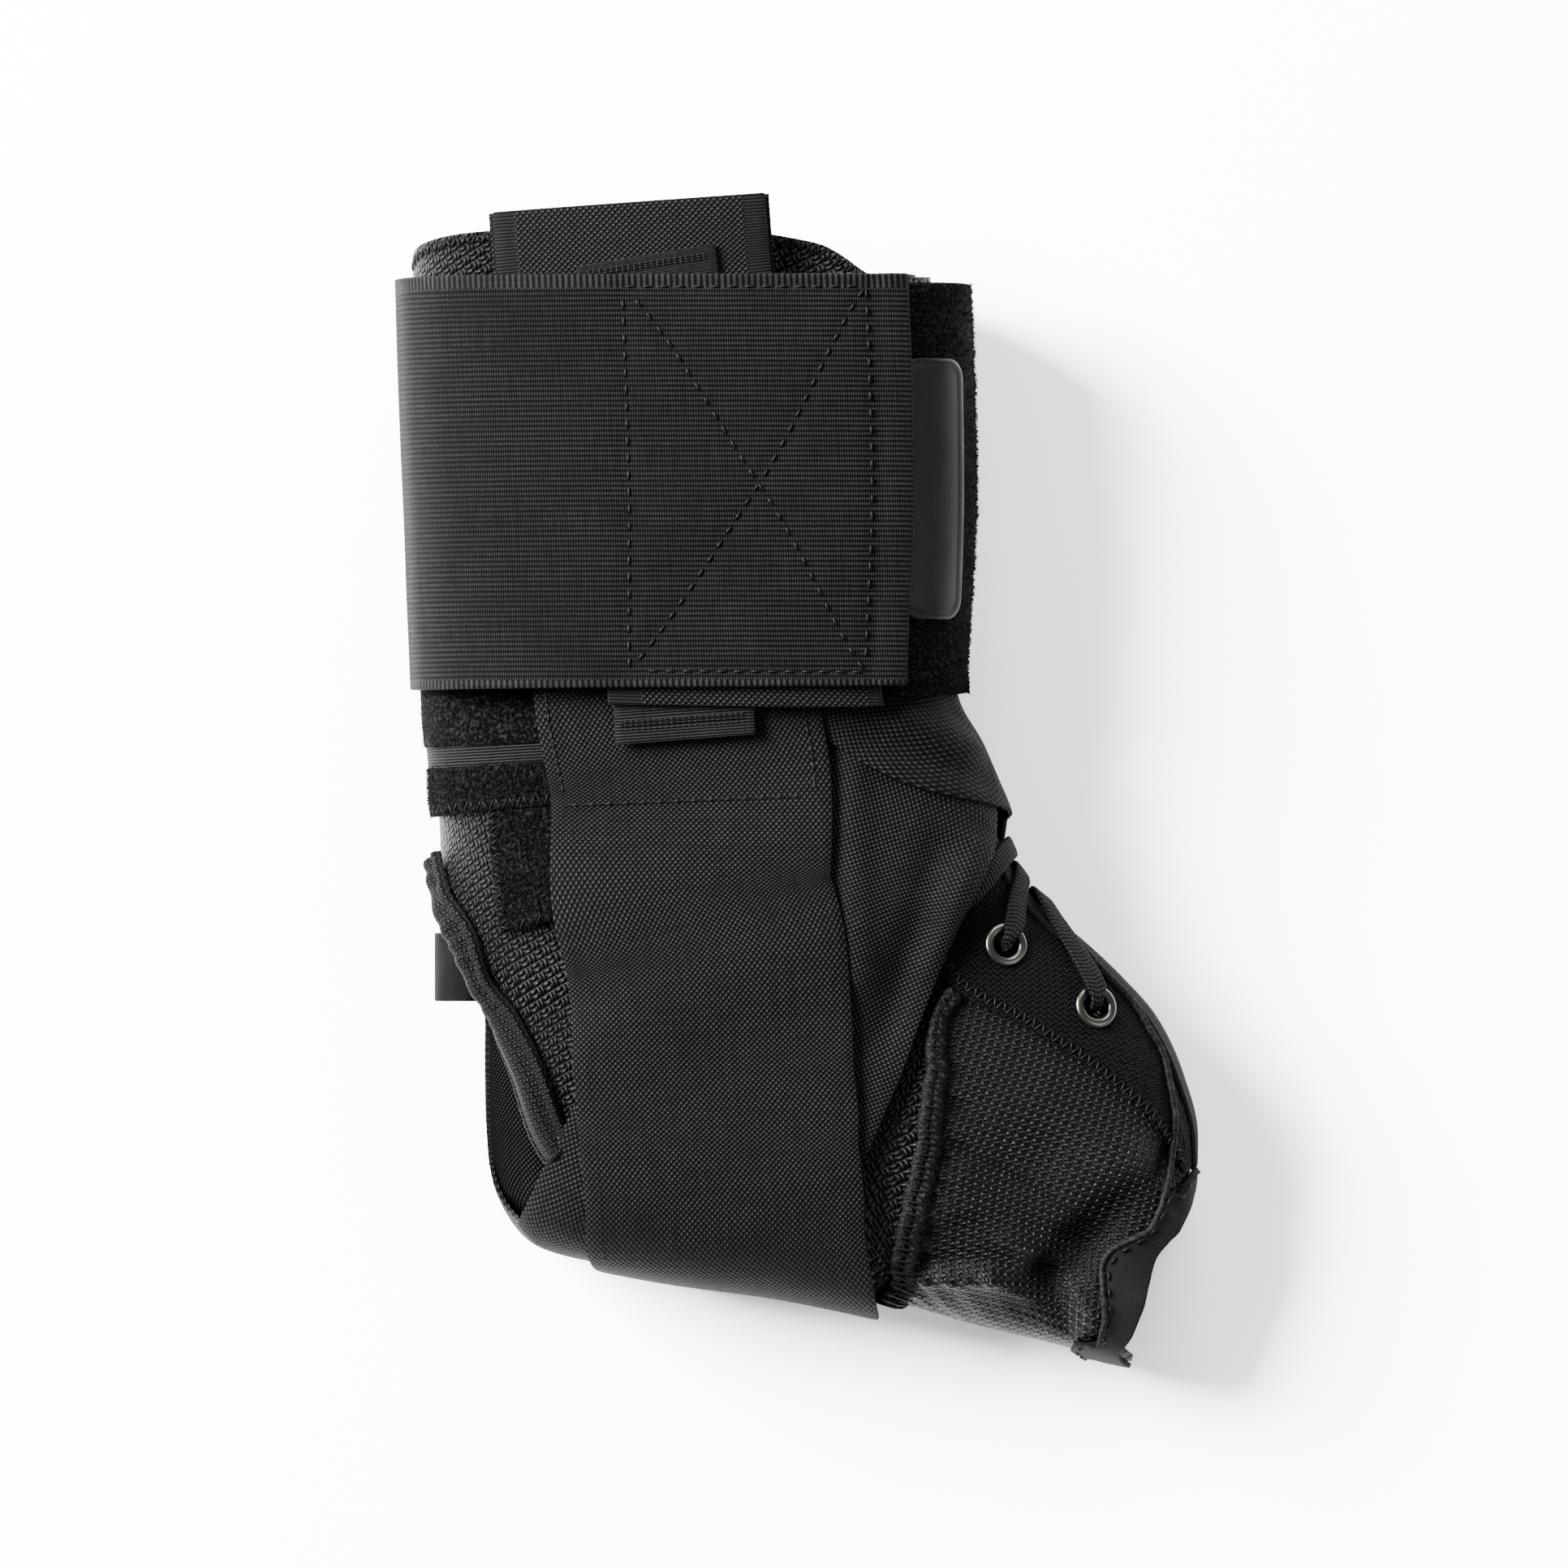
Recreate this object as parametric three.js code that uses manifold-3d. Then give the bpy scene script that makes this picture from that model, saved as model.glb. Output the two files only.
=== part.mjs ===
// An ankle brace lying on its outer side: a laced fabric boot with an open heel, two crossing
// stabilising straps and an elastic cuff strap. Millimetres, +Z up, the floor at z = 0, +Y towards
// the cuff and +X towards the toes. Every cloth piece follows one flattened ankle form, whose places
// are a station (rows that fan round the instep, cuff to toes) and an angle (0 at the instep, 90 on
// the near face, 180 at the heel side, negative on the face that lies on the floor).
import * as THREE from 'three';
import { mergeVertices } from 'three/addons/utils/BufferGeometryUtils.js';
import Module from 'manifold-3d';

const wasm = await Module();
wasm.setup();

// Driving dimensions of the flattened form
const REACH = 152.4; // heel side to toes
const HEIGHT = 221; // sole to cuff
const THICKNESS = 38; // far face to near face at the ankle

// Walls of the pieces
const PADDED_WALL = 3; // cuff and heel of the boot
const MESH_WALL = 1.4; // foot of the boot
const TONGUE_WALL = 2.6;
const STAY_WALL = 0.7;
const BINDING_WALL = 0.8;
const PILE_WALL = 1.2;
const WEB_WALL = 0.9; // stabilising straps
const HOOK_WALL = 0.8;
const TAPE_WALL = 0.7;
const CLOSURE_WALL = 1.4;
const LABEL_WALL = 1;
const ELASTIC_WALL = 1.4;
const CLEAR = 0.45; // between one layer and the next
const CROSS_CLEAR = 0.75; // and where two straps cross askew

// Widths of the cut pieces
const STRAP_WIDTH = 53;
const HEEL_BINDING_WIDTH = 3.4;
const PULL_TAPE_WIDTH = 26.5;
const HOOK_WIDTH = 51.5;
const HEEL_LOOP_WIDTH = 8.8;
const LABEL_LENGTH = 49;
const LABEL_WIDTH = 14.5;
const LABEL_CORNER = 4;

// Eyelets and lace
const EYELET_BORE = 4.8;
const EYELET_FLANGE = 8.3;
const EYELET_METAL = 0.35;
const LACE_WIDTH = 4.2;
const LACE_THICKNESS = 1.1;

// Layers are offsets outwards from the form, in millimetres, each laid on the one below
const above = (below, wall, clear = CLEAR) => ({ inner: below.outer + clear, outer: below.outer + clear + wall });
const SKIN = { inner: -MESH_WALL, outer: 0 };
const STAY = above(SKIN, STAY_WALL);
const BINDING = above(SKIN, BINDING_WALL);
const HEEL_BINDING = above(SKIN, BINDING_WALL, 2 * CLEAR);
const PILE = above(SKIN, PILE_WALL);
const FAR_STRAP = above(PILE, WEB_WALL);
const NEAR_STRAP = above(FAR_STRAP, WEB_WALL, CROSS_CLEAR);
const CLOSURE = above(NEAR_STRAP, CLOSURE_WALL, CROSS_CLEAR);
const STRAP_END = above(NEAR_STRAP, WEB_WALL);
const HOOK_END = above(STRAP_END, HOOK_WALL);
const PULL_TAPE = above(HOOK_END, TAPE_WALL);
const HOOK_PATCH = above(PULL_TAPE, HOOK_WALL);
const LABEL = above(CLOSURE, LABEL_WALL);
const ELASTIC_NEAR = above(HOOK_PATCH, ELASTIC_WALL);
const ELASTIC_FAR = above(CLOSURE, ELASTIC_WALL);
const ELASTIC_BACK = above(PILE, ELASTIC_WALL);
const FLOOR_GAP = ELASTIC_FAR.outer; // the cuff strap's far face lies on the floor

// Stations of the form: back and front edge as shares of REACH and HEIGHT, thickness as a share of
// THICKNESS and the height of the far face as a share of FLOOR_GAP. The first row is station -1.
const FIRST_STATION = -1;
const STATIONS = [
  { backX: -0.487, backY: 0.533, frontX: 0.159, frontY: 0.533, thick: 0.895, lift: 1 },
  { backX: -0.483, backY: 0.49, frontX: 0.165, frontY: 0.49, thick: 0.895, lift: 1 },
  { backX: -0.478, backY: 0.429, frontX: 0.171, frontY: 0.429, thick: 0.895, lift: 1 },
  { backX: -0.469, backY: 0.255, frontX: 0.179, frontY: 0.255, thick: 0.895, lift: 1 },
  { backX: -0.459, backY: 0.088, frontX: 0.167, frontY: 0.088, thick: 0.895, lift: 1 },
  { backX: -0.447, backY: -0.024, frontX: 0.207, frontY: 0.022, thick: 0.947, lift: 0.72 },
  { backX: -0.435, backY: -0.121, frontX: 0.236, frontY: -0.026, thick: 1, lift: 0.6 },
  { backX: -0.38, backY: -0.212, frontX: 0.26, frontY: -0.068, thick: 1, lift: 0.575 },
  { backX: -0.372, backY: -0.316, frontX: 0.302, frontY: -0.106, thick: 0.947, lift: 0.575 },
  { backX: -0.326, backY: -0.381, frontX: 0.355, frontY: -0.135, thick: 0.921, lift: 0.575 },
  { backX: -0.184, backY: -0.406, frontX: 0.405, frontY: -0.168, thick: 0.895, lift: 0.575 },
  { backX: -0.023, backY: -0.423, frontX: 0.446, frontY: -0.202, thick: 0.842, lift: 0.565 },
  { backX: 0.129, backY: -0.446, frontX: 0.476, frontY: -0.248, thick: 0.789, lift: 0.5 },
  { backX: 0.27, backY: -0.473, frontX: 0.493, frontY: -0.299, thick: 0.711, lift: 0.35 },
  { backX: 0.421, backY: -0.498, frontX: 0.49, frontY: -0.351, thick: 0.632, lift: 0.25 },
];
const LAST_STATION = FIRST_STATION + STATIONS.length - 1;

// How the section swells from a plain ellipse, and how flat its far side lies
const SECTION = { ends: 0.2, near: 0.3, far: 0.5, flat: 1.02 };

// Folds and gathers of the cloth: a ridge (or a dent, below 0) round a place, with its length along
// the stations and round the angles
const FOLDS = [
  { station: 11.9, angle: 100, along: 0.32, round: 26, rise: -3.2 },
  { station: 11.3, angle: 124, along: 0.35, round: 16, rise: 1.8 },
  { station: 12.5, angle: 128, along: 0.3, round: 22, rise: 2.4 },
  { station: 10.6, angle: 84, along: 0.45, round: 12, rise: -1.3 },
  { station: 11.4, angle: 66, along: 0.55, round: 14, rise: 1.6 },
  { station: 12.1, angle: 48, along: 0.4, round: 12, rise: -1.2 },
  { station: 10.4, angle: 104, along: 0.28, round: 10, rise: 1.2 },
  { station: 5.45, angle: 146, along: 0.34, round: 14, rise: 1.4 },
  { station: 6.0, angle: 134, along: 0.3, round: 12, rise: -1.2 },
  { station: 4.9, angle: 158, along: 0.35, round: 6, rise: 0.9 },
];

// A smooth curve through rows of one table, read at a key that rises from row to row; it never
// swings past the rows' own values
function along(table, keyColumn, key, columns) {
  const last = table.length - 1;
  let i = 0;
  while (i < last - 1 && key > table[i + 1][keyColumn]) i += 1;
  const span = table[i + 1][keyColumn] - table[i][keyColumn];
  const t = Math.min(Math.max((key - table[i][keyColumn]) / span, 0), 1);
  const result = {};
  for (const column of columns) {
    const secant = (k) => (table[k + 1][column] - table[k][column]) / (table[k + 1][keyColumn] - table[k][keyColumn]);
    const slope = (k) => {
      const left = secant(Math.max(k - 1, 0));
      const right = secant(Math.min(k, last - 1));
      return left * right <= 0 ? 0 : (2 * left * right) / (left + right);
    };
    const a = table[i][column];
    const b = table[i + 1][column];
    const h00 = (1 + 2 * t) * (1 - t) ** 2;
    const h01 = t * t * (3 - 2 * t);
    const h10 = t * (1 - t) ** 2 * span;
    const h11 = t * t * (t - 1) * span;
    result[column] = h00 * a + h01 * b + h10 * slope(i) + h11 * slope(i + 1);
  }
  return result;
}

const STATION_ROWS = STATIONS.map((row, i) => ({ ...row, station: FIRST_STATION + i }));
const STATION_COLUMNS = ['backX', 'backY', 'frontX', 'frontY', 'thick', 'lift'];

// The point of the flattened form at a station and an angle
function formPoint(station, angle) {
  const row = along(STATION_ROWS, 'station', station, STATION_COLUMNS);
  const back = new THREE.Vector2(row.backX * REACH, row.backY * HEIGHT);
  const front = new THREE.Vector2(row.frontX * REACH, row.frontY * HEIGHT);
  const c = Math.cos(THREE.MathUtils.degToRad(angle));
  const s = Math.sin(THREE.MathUtils.degToRad(angle));
  const across = c * (1 + SECTION.ends * s * s);
  const near = s * (1 + SECTION.near * c * c);
  const far = Math.max(-1, s * (1 + SECTION.far * c * c) * SECTION.flat);
  const half = (row.thick * THICKNESS) / 2;
  const middle = back.clone().add(front).multiplyScalar(0.5);
  const reach = front.clone().sub(back).multiplyScalar(0.5 * across);
  const z = row.lift * FLOOR_GAP + half + half * (s >= 0 ? near : far);
  return new THREE.Vector3(middle.x + reach.x, middle.y + reach.y, z);
}

const STATION_STEP = 0.02;
const ANGLE_STEP = 0.5;

// The outward normal of the form
function formNormal(station, angle) {
  const upper = Math.min(station + STATION_STEP, LAST_STATION);
  const lower = Math.max(station - STATION_STEP, FIRST_STATION);
  const down = formPoint(upper, angle).sub(formPoint(lower, angle));
  const round = formPoint(station, angle + ANGLE_STEP).sub(formPoint(station, angle - ANGLE_STEP));
  return round.cross(down).normalize();
}

// How far the folds raise the cloth at a place
function foldRise(station, angle) {
  let rise = 0;
  for (const fold of FOLDS) {
    const u = (station - fold.station) / fold.along;
    const w = (angle - fold.angle) / fold.round;
    rise += fold.rise * Math.exp(-u * u - w * w);
  }
  return rise;
}

// A point of the cloth: a place on the form, raised by the folds and by its layer's offset
function clothPoint(station, angle, offset) {
  const n = formNormal(station, angle);
  return formPoint(station, angle).addScaledVector(n, offset + foldRise(station, angle));
}

// One closed solid between an outer and an inner grid of points, rows by columns
function slabGeometry(outer, inner) {
  const rows = outer.length;
  const columns = outer[0].length;
  const positions = [...outer.flat(), ...inner.flat()].flatMap((p) => [p.x, p.y, p.z]);
  const out = (i, j) => i * columns + j;
  const inn = (i, j) => rows * columns + i * columns + j;
  const index = [];
  const quad = (a, b, c, d) => index.push(a, b, c, a, c, d);
  for (let i = 0; i < rows - 1; i++)
    for (let j = 0; j < columns - 1; j++) {
      quad(out(i, j), out(i + 1, j), out(i + 1, j + 1), out(i, j + 1));
      quad(inn(i, j), inn(i, j + 1), inn(i + 1, j + 1), inn(i + 1, j));
    }
  for (let j = 0; j < columns - 1; j++) {
    quad(out(0, j), out(0, j + 1), inn(0, j + 1), inn(0, j));
    quad(out(rows - 1, j + 1), out(rows - 1, j), inn(rows - 1, j), inn(rows - 1, j + 1));
  }
  for (let i = 0; i < rows - 1; i++) {
    quad(out(i + 1, 0), out(i, 0), inn(i, 0), inn(i + 1, 0));
    quad(out(i, columns - 1), out(i + 1, columns - 1), inn(i + 1, columns - 1), inn(i, columns - 1));
  }
  const geometry = new THREE.BufferGeometry();
  geometry.setAttribute('position', new THREE.Float32BufferAttribute(positions, 3));
  geometry.setIndex(index);
  return facingOut(geometry);
}

// The same closed surface, turned so that its faces point outwards
function facingOut(geometry) {
  const p = geometry.getAttribute('position');
  const index = geometry.getIndex().array;
  const corner = (i) => new THREE.Vector3().fromBufferAttribute(p, index[i]);
  let volume = 0;
  for (let i = 0; i < index.length; i += 3) volume += corner(i).dot(corner(i + 1).cross(corner(i + 2)));
  if (volume < 0) for (let i = 0; i < index.length; i += 3) [index[i + 1], index[i + 2]] = [index[i + 2], index[i + 1]];
  return geometry;
}

const lerp = THREE.MathUtils.lerp;

const FACET_LENGTH = 22; // a facet is about this long on flat cloth
const FACET_TURN = 14; // and turns about this many degrees on bent cloth
const PATH_SAMPLES = 160;

// Shares 0 to 1 that cut a path of places into steps, closer where the cloth bends
function bendShares(count, placeAt) {
  const measure = [0];
  let before = placeAt(0);
  for (let k = 1; k <= PATH_SAMPLES; k++) {
    const place = placeAt(k / PATH_SAMPLES);
    const length = clothPoint(place.station, place.angle, 0).distanceTo(clothPoint(before.station, before.angle, 0));
    const turn = formNormal(place.station, place.angle).angleTo(formNormal(before.station, before.angle));
    measure.push(measure[k - 1] + length / FACET_LENGTH + THREE.MathUtils.radToDeg(turn) / FACET_TURN);
    before = place;
  }
  const shares = [];
  let k = 0;
  for (let i = 0; i <= count; i++) {
    const goal = (measure[PATH_SAMPLES] * i) / count;
    while (k < PATH_SAMPLES - 1 && measure[k + 1] < goal) k += 1;
    shares.push((k + (goal - measure[k]) / (measure[k + 1] - measure[k])) / PATH_SAMPLES);
  }
  return shares;
}

// A patch of cloth over the form. place(s, t) gives its station and angle for shares 0 to 1 round
// and along, layer(station, angle) its inner and outer offset, and ruler(s) the line along which its
// columns are spaced.
function patch(columns, rows, place, layer, ruler = (s) => place(s, 0.5)) {
  const outer = [];
  const inner = [];
  const round = bendShares(columns, ruler);
  for (let i = 0; i <= rows; i++) {
    outer.push([]);
    inner.push([]);
    for (const s of round) {
      const { station, angle } = place(s, i / rows);
      const offset = layer(station, angle);
      outer[i].push(clothPoint(station, angle, offset.outer));
      inner[i].push(clothPoint(station, angle, offset.inner));
    }
  }
  return slabGeometry(outer, inner);
}

// A four-cornered place map, with corners in the order upper left, upper right, lower right, lower left
const quadPlace = ([ul, ur, lr, ll]) => (s, t) => ({
  station: lerp(lerp(ul.station, ur.station, s), lerp(ll.station, lr.station, s), t),
  angle: lerp(lerp(ul.angle, ur.angle, s), lerp(ll.angle, lr.angle, s), t),
});

// The step of station and angle that moves a cloth point by a short vector lying on the surface
function surfaceStep(station, angle, offset, move) {
  const here = clothPoint(station, angle, offset);
  const perStation = clothPoint(station + STATION_STEP, angle, offset).sub(here).divideScalar(STATION_STEP);
  const perAngle = clothPoint(station, angle + ANGLE_STEP, offset).sub(here).divideScalar(ANGLE_STEP);
  const aa = perStation.dot(perStation);
  const ab = perStation.dot(perAngle);
  const bb = perAngle.dot(perAngle);
  const ma = perStation.dot(move);
  const mb = perAngle.dot(move);
  const det = aa * bb - ab * ab;
  return { station: (ma * bb - mb * ab) / det, angle: (mb * aa - ma * ab) / det };
}

// The place reached by walking a distance across a direction, keeping square to it
function walkAcross(place, offset, forward, distance, steps) {
  let { station, angle } = place;
  for (let k = 0; k < steps; k++) {
    const side = formNormal(station, angle).cross(forward).normalize();
    const step = surfaceStep(station, angle, offset, side.multiplyScalar(distance / steps));
    station += step.station;
    angle += step.angle;
  }
  return { station, angle };
}

const WALK_STEP = 4;

// Route rows with the share of the route at which each lies
function measured(route) {
  let length = 0;
  const rows = route.map((row, i) => {
    if (i > 0) {
      const before = formPoint(route[i - 1].station, route[i - 1].angle);
      length += formPoint(row.station, row.angle).distanceTo(before);
    }
    return { ...row, run: length };
  });
  return { rows, length };
}

// A strip of constant width along a route of stations and angles; layer(run share, station, angle)
// gives its offsets
function strip(route, width, stepsAlong, stepsAcross, layer) {
  const { rows, length } = measured(route);
  const at = (run) => along(rows, 'run', run, ['station', 'angle']);
  const outer = [];
  const inner = [];
  const nudge = length / stepsAlong / 4;
  for (const share of bendShares(stepsAlong, (u) => at(u * length))) {
    const run = share * length;
    const centre = at(run);
    const before = at(Math.max(run - nudge, 0));
    const after = at(Math.min(run + nudge, length));
    const middle = layer(share, centre.station, centre.angle).inner;
    const forward = clothPoint(after.station, after.angle, middle)
      .sub(clothPoint(before.station, before.angle, middle))
      .normalize();
    const outerRow = [];
    const innerRow = [];
    for (let j = 0; j <= stepsAcross; j++) {
      const distance = width * (j / stepsAcross - 0.5);
      const steps = Math.max(Math.round(Math.abs(distance) / WALK_STEP), 1);
      const place = walkAcross(centre, middle, forward, distance, steps);
      const offset = layer(share, place.station, place.angle);
      outerRow.push(clothPoint(place.station, place.angle, offset.outer));
      innerRow.push(clothPoint(place.station, place.angle, offset.inner));
    }
    outer.push(outerRow);
    inner.push(innerRow);
  }
  return slabGeometry(outer, inner);
}

// Booleans through manifold-3d
function toSolid(geometry) {
  const bare = geometry.clone();
  bare.deleteAttribute('normal');
  bare.deleteAttribute('uv');
  const merged = mergeVertices(bare, 1e-4);
  return new wasm.Manifold(
    new wasm.Mesh({
      numProp: 3,
      vertProperties: new Float32Array(merged.getAttribute('position').array),
      triVerts: new Uint32Array(merged.getIndex().array),
    }),
  );
}

function toGeometry(solid) {
  const mesh = solid.getMesh();
  const geometry = new THREE.BufferGeometry();
  geometry.setAttribute('position', new THREE.BufferAttribute(new Float32Array(mesh.vertProperties), 3));
  geometry.setIndex(new THREE.BufferAttribute(new Uint32Array(mesh.triVerts), 1));
  return geometry;
}

const cut = (geometry, tools) => toGeometry(tools.reduce((solid, tool) => solid.subtract(toSolid(tool)), toSolid(geometry)));

// A geometry stood on the cloth at a place, its +Y along the outward normal
function stoodOn(geometry, place, offset) {
  const n = formNormal(place.station, place.angle);
  const turn = new THREE.Quaternion().setFromUnitVectors(new THREE.Vector3(0, 1, 0), n);
  const at = clothPoint(place.station, place.angle, offset);
  return geometry.applyQuaternion(turn).translate(at.x, at.y, at.z);
}

// Materials
const fabric = (color, roughness) => new THREE.MeshStandardMaterial({ color, roughness, metalness: 0 });
const bootCloth = fabric(0x1b1b1d, 0.85);
const vampCloth = fabric(0x19191b, 0.8);
const stayCloth = fabric(0x171719, 0.8);
const pileCloth = fabric(0x151417, 0.98);
const webbing = fabric(0x232425, 0.7);
const hookTape = fabric(0x202124, 0.75);
const elasticWeb = fabric(0x2a2b2c, 0.8);
const labelRubber = fabric(0x3a3a3b, 0.6);
const laceCord = fabric(0x1e1d20, 0.75);
const nickel = new THREE.MeshStandardMaterial({ color: 0x96918a, roughness: 0.35, metalness: 1 });

const brace = new THREE.Group();
function add(name, geometry, material) {
  const mesh = new THREE.Mesh(geometry, material);
  mesh.name = name;
  brace.add(mesh);
}

// The boot's edges, as tables over the angle round the form
const CUFF_TOP = [
  { angle: -200, station: 0.6 },
  { angle: -150, station: 0.35 },
  { angle: -90, station: 0.3 },
  { angle: -40, station: 0.9 },
  { angle: 45, station: 0.95 },
  { angle: 62, station: 0.54 },
  { angle: 90, station: 0.28 },
  { angle: 128, station: 0.36 },
  { angle: 163, station: 0.58 },
  { angle: 180, station: 0.74 },
  { angle: 230, station: 0.4 },
  { angle: 320, station: 0.9 },
];
const ARCH_SEAM = [
  { angle: 0, station: 7.2 },
  { angle: 60, station: 7.72 },
  { angle: 77, station: 8.8 },
  { angle: 97, station: 9.82 },
  { angle: 124, station: 10.55 },
  { angle: 150, station: 10.87 },
  { angle: 210, station: 10.87 },
  { angle: 236, station: 10.55 },
  { angle: 263, station: 9.82 },
  { angle: 283, station: 8.8 },
  { angle: 300, station: 7.72 },
  { angle: 340, station: 7.2 },
];
const TOE_RIM = [
  { angle: 0, station: 13 },
  { angle: 40, station: 12.86 },
  { angle: 90, station: 12.72 },
  { angle: 140, station: 12.78 },
  { angle: 180, station: 12.98 },
  { angle: 230, station: 12.8 },
  { angle: 340, station: 13 },
];
const NEAR_EDGE = 13; // angle of the lacing gap's near edge
const FAR_EDGE = 330; // and of its far edge, on the way round the heel
const edgeStation = (table, angle) => along(table, 'angle', angle, ['station']).station;

// The padded leg thins to the foot's mesh below the ankle
const PADDING = [
  { station: -1, wall: PADDED_WALL },
  { station: 3.4, wall: PADDED_WALL },
  { station: 5.2, wall: MESH_WALL },
  { station: 13, wall: MESH_WALL },
];
const bootLayer = (station) => ({
  inner: -Math.max(along(PADDING, 'station', station, ['wall']).wall, MESH_WALL),
  outer: SKIN.outer,
});

const SEAM_GAP = 0.02; // station left open between the two boot panels
const bootPlace = (s, t) => {
  const angle = lerp(NEAR_EDGE, FAR_EDGE, s);
  return { angle, station: lerp(edgeStation(CUFF_TOP, angle), edgeStation(ARCH_SEAM, angle) - SEAM_GAP, t) };
};
const vampPlace = (s, t) => {
  const angle = lerp(NEAR_EDGE, FAR_EDGE, s);
  return { angle, station: lerp(edgeStation(ARCH_SEAM, angle) + SEAM_GAP, edgeStation(TOE_RIM, angle), t) };
};

// The heel opening between its near and far edge
const HEEL_OPENING = [
  { station: 4.25, near: 178, far: 182 },
  { station: 4.7, near: 172, far: 190 },
  { station: 5.2, near: 159, far: 202 },
  { station: 5.64, near: 163, far: 204 },
  { station: 5.96, near: 160, far: 206 },
  { station: 6.5, near: 149, far: 211 },
  { station: 7.3, near: 142, far: 218 },
  { station: 8.0, near: 155, far: 205 },
  { station: 8.5, near: 178, far: 182 },
];
const OPENING_DEPTH = 9;
function heelCutter() {
  const first = HEEL_OPENING[0].station;
  const last = HEEL_OPENING[HEEL_OPENING.length - 1].station;
  const place = (s, t) => {
    const station = lerp(first, last, t);
    const edge = along(HEEL_OPENING, 'station', station, ['near', 'far']);
    return { station, angle: lerp(edge.near, edge.far, s) };
  };
  return patch(6, 18, place, () => ({ inner: -OPENING_DEPTH, outer: OPENING_DEPTH }));
}

// Eyelets sit in pairs beside the lacing gap
const EYELETS = [
  { name: 'upper_near', station: 7.36, angle: 41.9 },
  { name: 'lower_near', station: 9.15, angle: 38.5 },
  { name: 'upper_far', station: 7.5, angle: 306 },
  { name: 'lower_far', station: 9.0, angle: 306 },
];
const EYELET_SIDES = 10;
const EYELET_SEAT = 0.3;
const PUNCH_RADIUS = EYELET_BORE / 2 + EYELET_METAL + CLEAR / 2;
const PUNCH_LENGTH = 8;
const boreTool = (eyelet) =>
  stoodOn(new THREE.CylinderGeometry(PUNCH_RADIUS, PUNCH_RADIUS, PUNCH_LENGTH, EYELET_SIDES), eyelet, 0);

const bootTools = [heelCutter(), ...EYELETS.map(boreTool)];
const seamLine = (s) => vampPlace(s, 0);
add('boot_shell', cut(patch(28, 15, bootPlace, bootLayer, seamLine), bootTools), bootCloth);
add('vamp_panel', cut(patch(28, 8, vampPlace, bootLayer, seamLine), EYELETS.map(boreTool)), vampCloth);

// Tongue under the lacing gap
const TONGUE_DEPTH = [
  { station: 0.9, outer: -PADDED_WALL - CLEAR },
  { station: 2, outer: -PADDED_WALL - 2 * CLEAR },
  { station: 4.4, outer: -PADDED_WALL - 3 * CLEAR },
  { station: 5.4, outer: -5.2 },
  { station: 10.2, outer: -5.2 },
  { station: 11.2, outer: -MESH_WALL - CLEAR },
  { station: 12.3, outer: -MESH_WALL - CLEAR },
];
const TONGUE_TOP = 0.9;
const TONGUE_END = 12.3;
const TONGUE_NEAR = 36;
const TONGUE_FAR = -58;
add(
  'tongue',
  patch(
    8,
    15,
    (s, t) => ({ station: lerp(TONGUE_TOP, TONGUE_END, t), angle: lerp(TONGUE_FAR, TONGUE_NEAR, s) }),
    (station) => {
      const { outer } = along(TONGUE_DEPTH, 'station', station, ['outer']);
      return { inner: outer - TONGUE_WALL, outer };
    },
  ),
  bootCloth,
);

// Eyelet stays: a reinforcing panel beside each edge of the lacing gap, inside its binding
const STAY_EDGE = [
  { station: 5.2, near: 56, far: 296 },
  { station: 7.64, near: 59.6, far: 290 },
  { station: 8.61, near: 57.5, far: 290 },
  { station: 10.06, near: 56, far: 292 },
  { station: 11.5, near: 47.5, far: 300 },
  { station: 12.4, near: 41, far: 306 },
];
const STAY_TOP = 5.4;
const STAY_END = 12.4;
const BINDING_SPAN = [
  { station: 5, near: 25, far: 318 },
  { station: 9, near: 25.5, far: 317.5 },
  { station: 12.4, near: 30, far: 313 },
];
const stayPlace = (side) => (s, t) => {
  const station = lerp(STAY_TOP, STAY_END, t);
  const from = along(BINDING_SPAN, 'station', station, [side])[side];
  const to = along(STAY_EDGE, 'station', station, [side])[side];
  return { station, angle: lerp(from, to, s) };
};
for (const side of ['near', 'far']) {
  const tools = EYELETS.filter((eyelet) => eyelet.name.endsWith(side)).map(boreTool);
  add(side + '_eyelet_stay', cut(patch(3, 9, stayPlace(side), () => STAY), tools), stayCloth);
}

// Bindings of the lacing gap's edges and of the toe rim
const bindingPlace = (side, edge) => (s, t) => {
  const station = lerp(STAY_TOP, STAY_END, t);
  const rim = along(BINDING_SPAN, 'station', station, [side])[side];
  return { station, angle: lerp(edge, rim - Math.sign(rim - edge), s) };
};
add('near_edge_binding', patch(2, 12, bindingPlace('near', NEAR_EDGE), () => BINDING), stayCloth);
add('far_edge_binding', patch(2, 12, bindingPlace('far', FAR_EDGE), () => BINDING), stayCloth);
const RIM_STATION_WIDTH = 0.42;
add(
  'toe_binding',
  patch(
    28,
    1,
    (s, t) => {
      const angle = lerp(NEAR_EDGE, FAR_EDGE, s);
      const rim = edgeStation(TOE_RIM, angle);
      return { angle, station: lerp(Math.max(rim - RIM_STATION_WIDTH, STAY_END + 0.05), rim, t) };
    },
    () => BINDING,
    seamLine,
  ),
  stayCloth,
);

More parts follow.
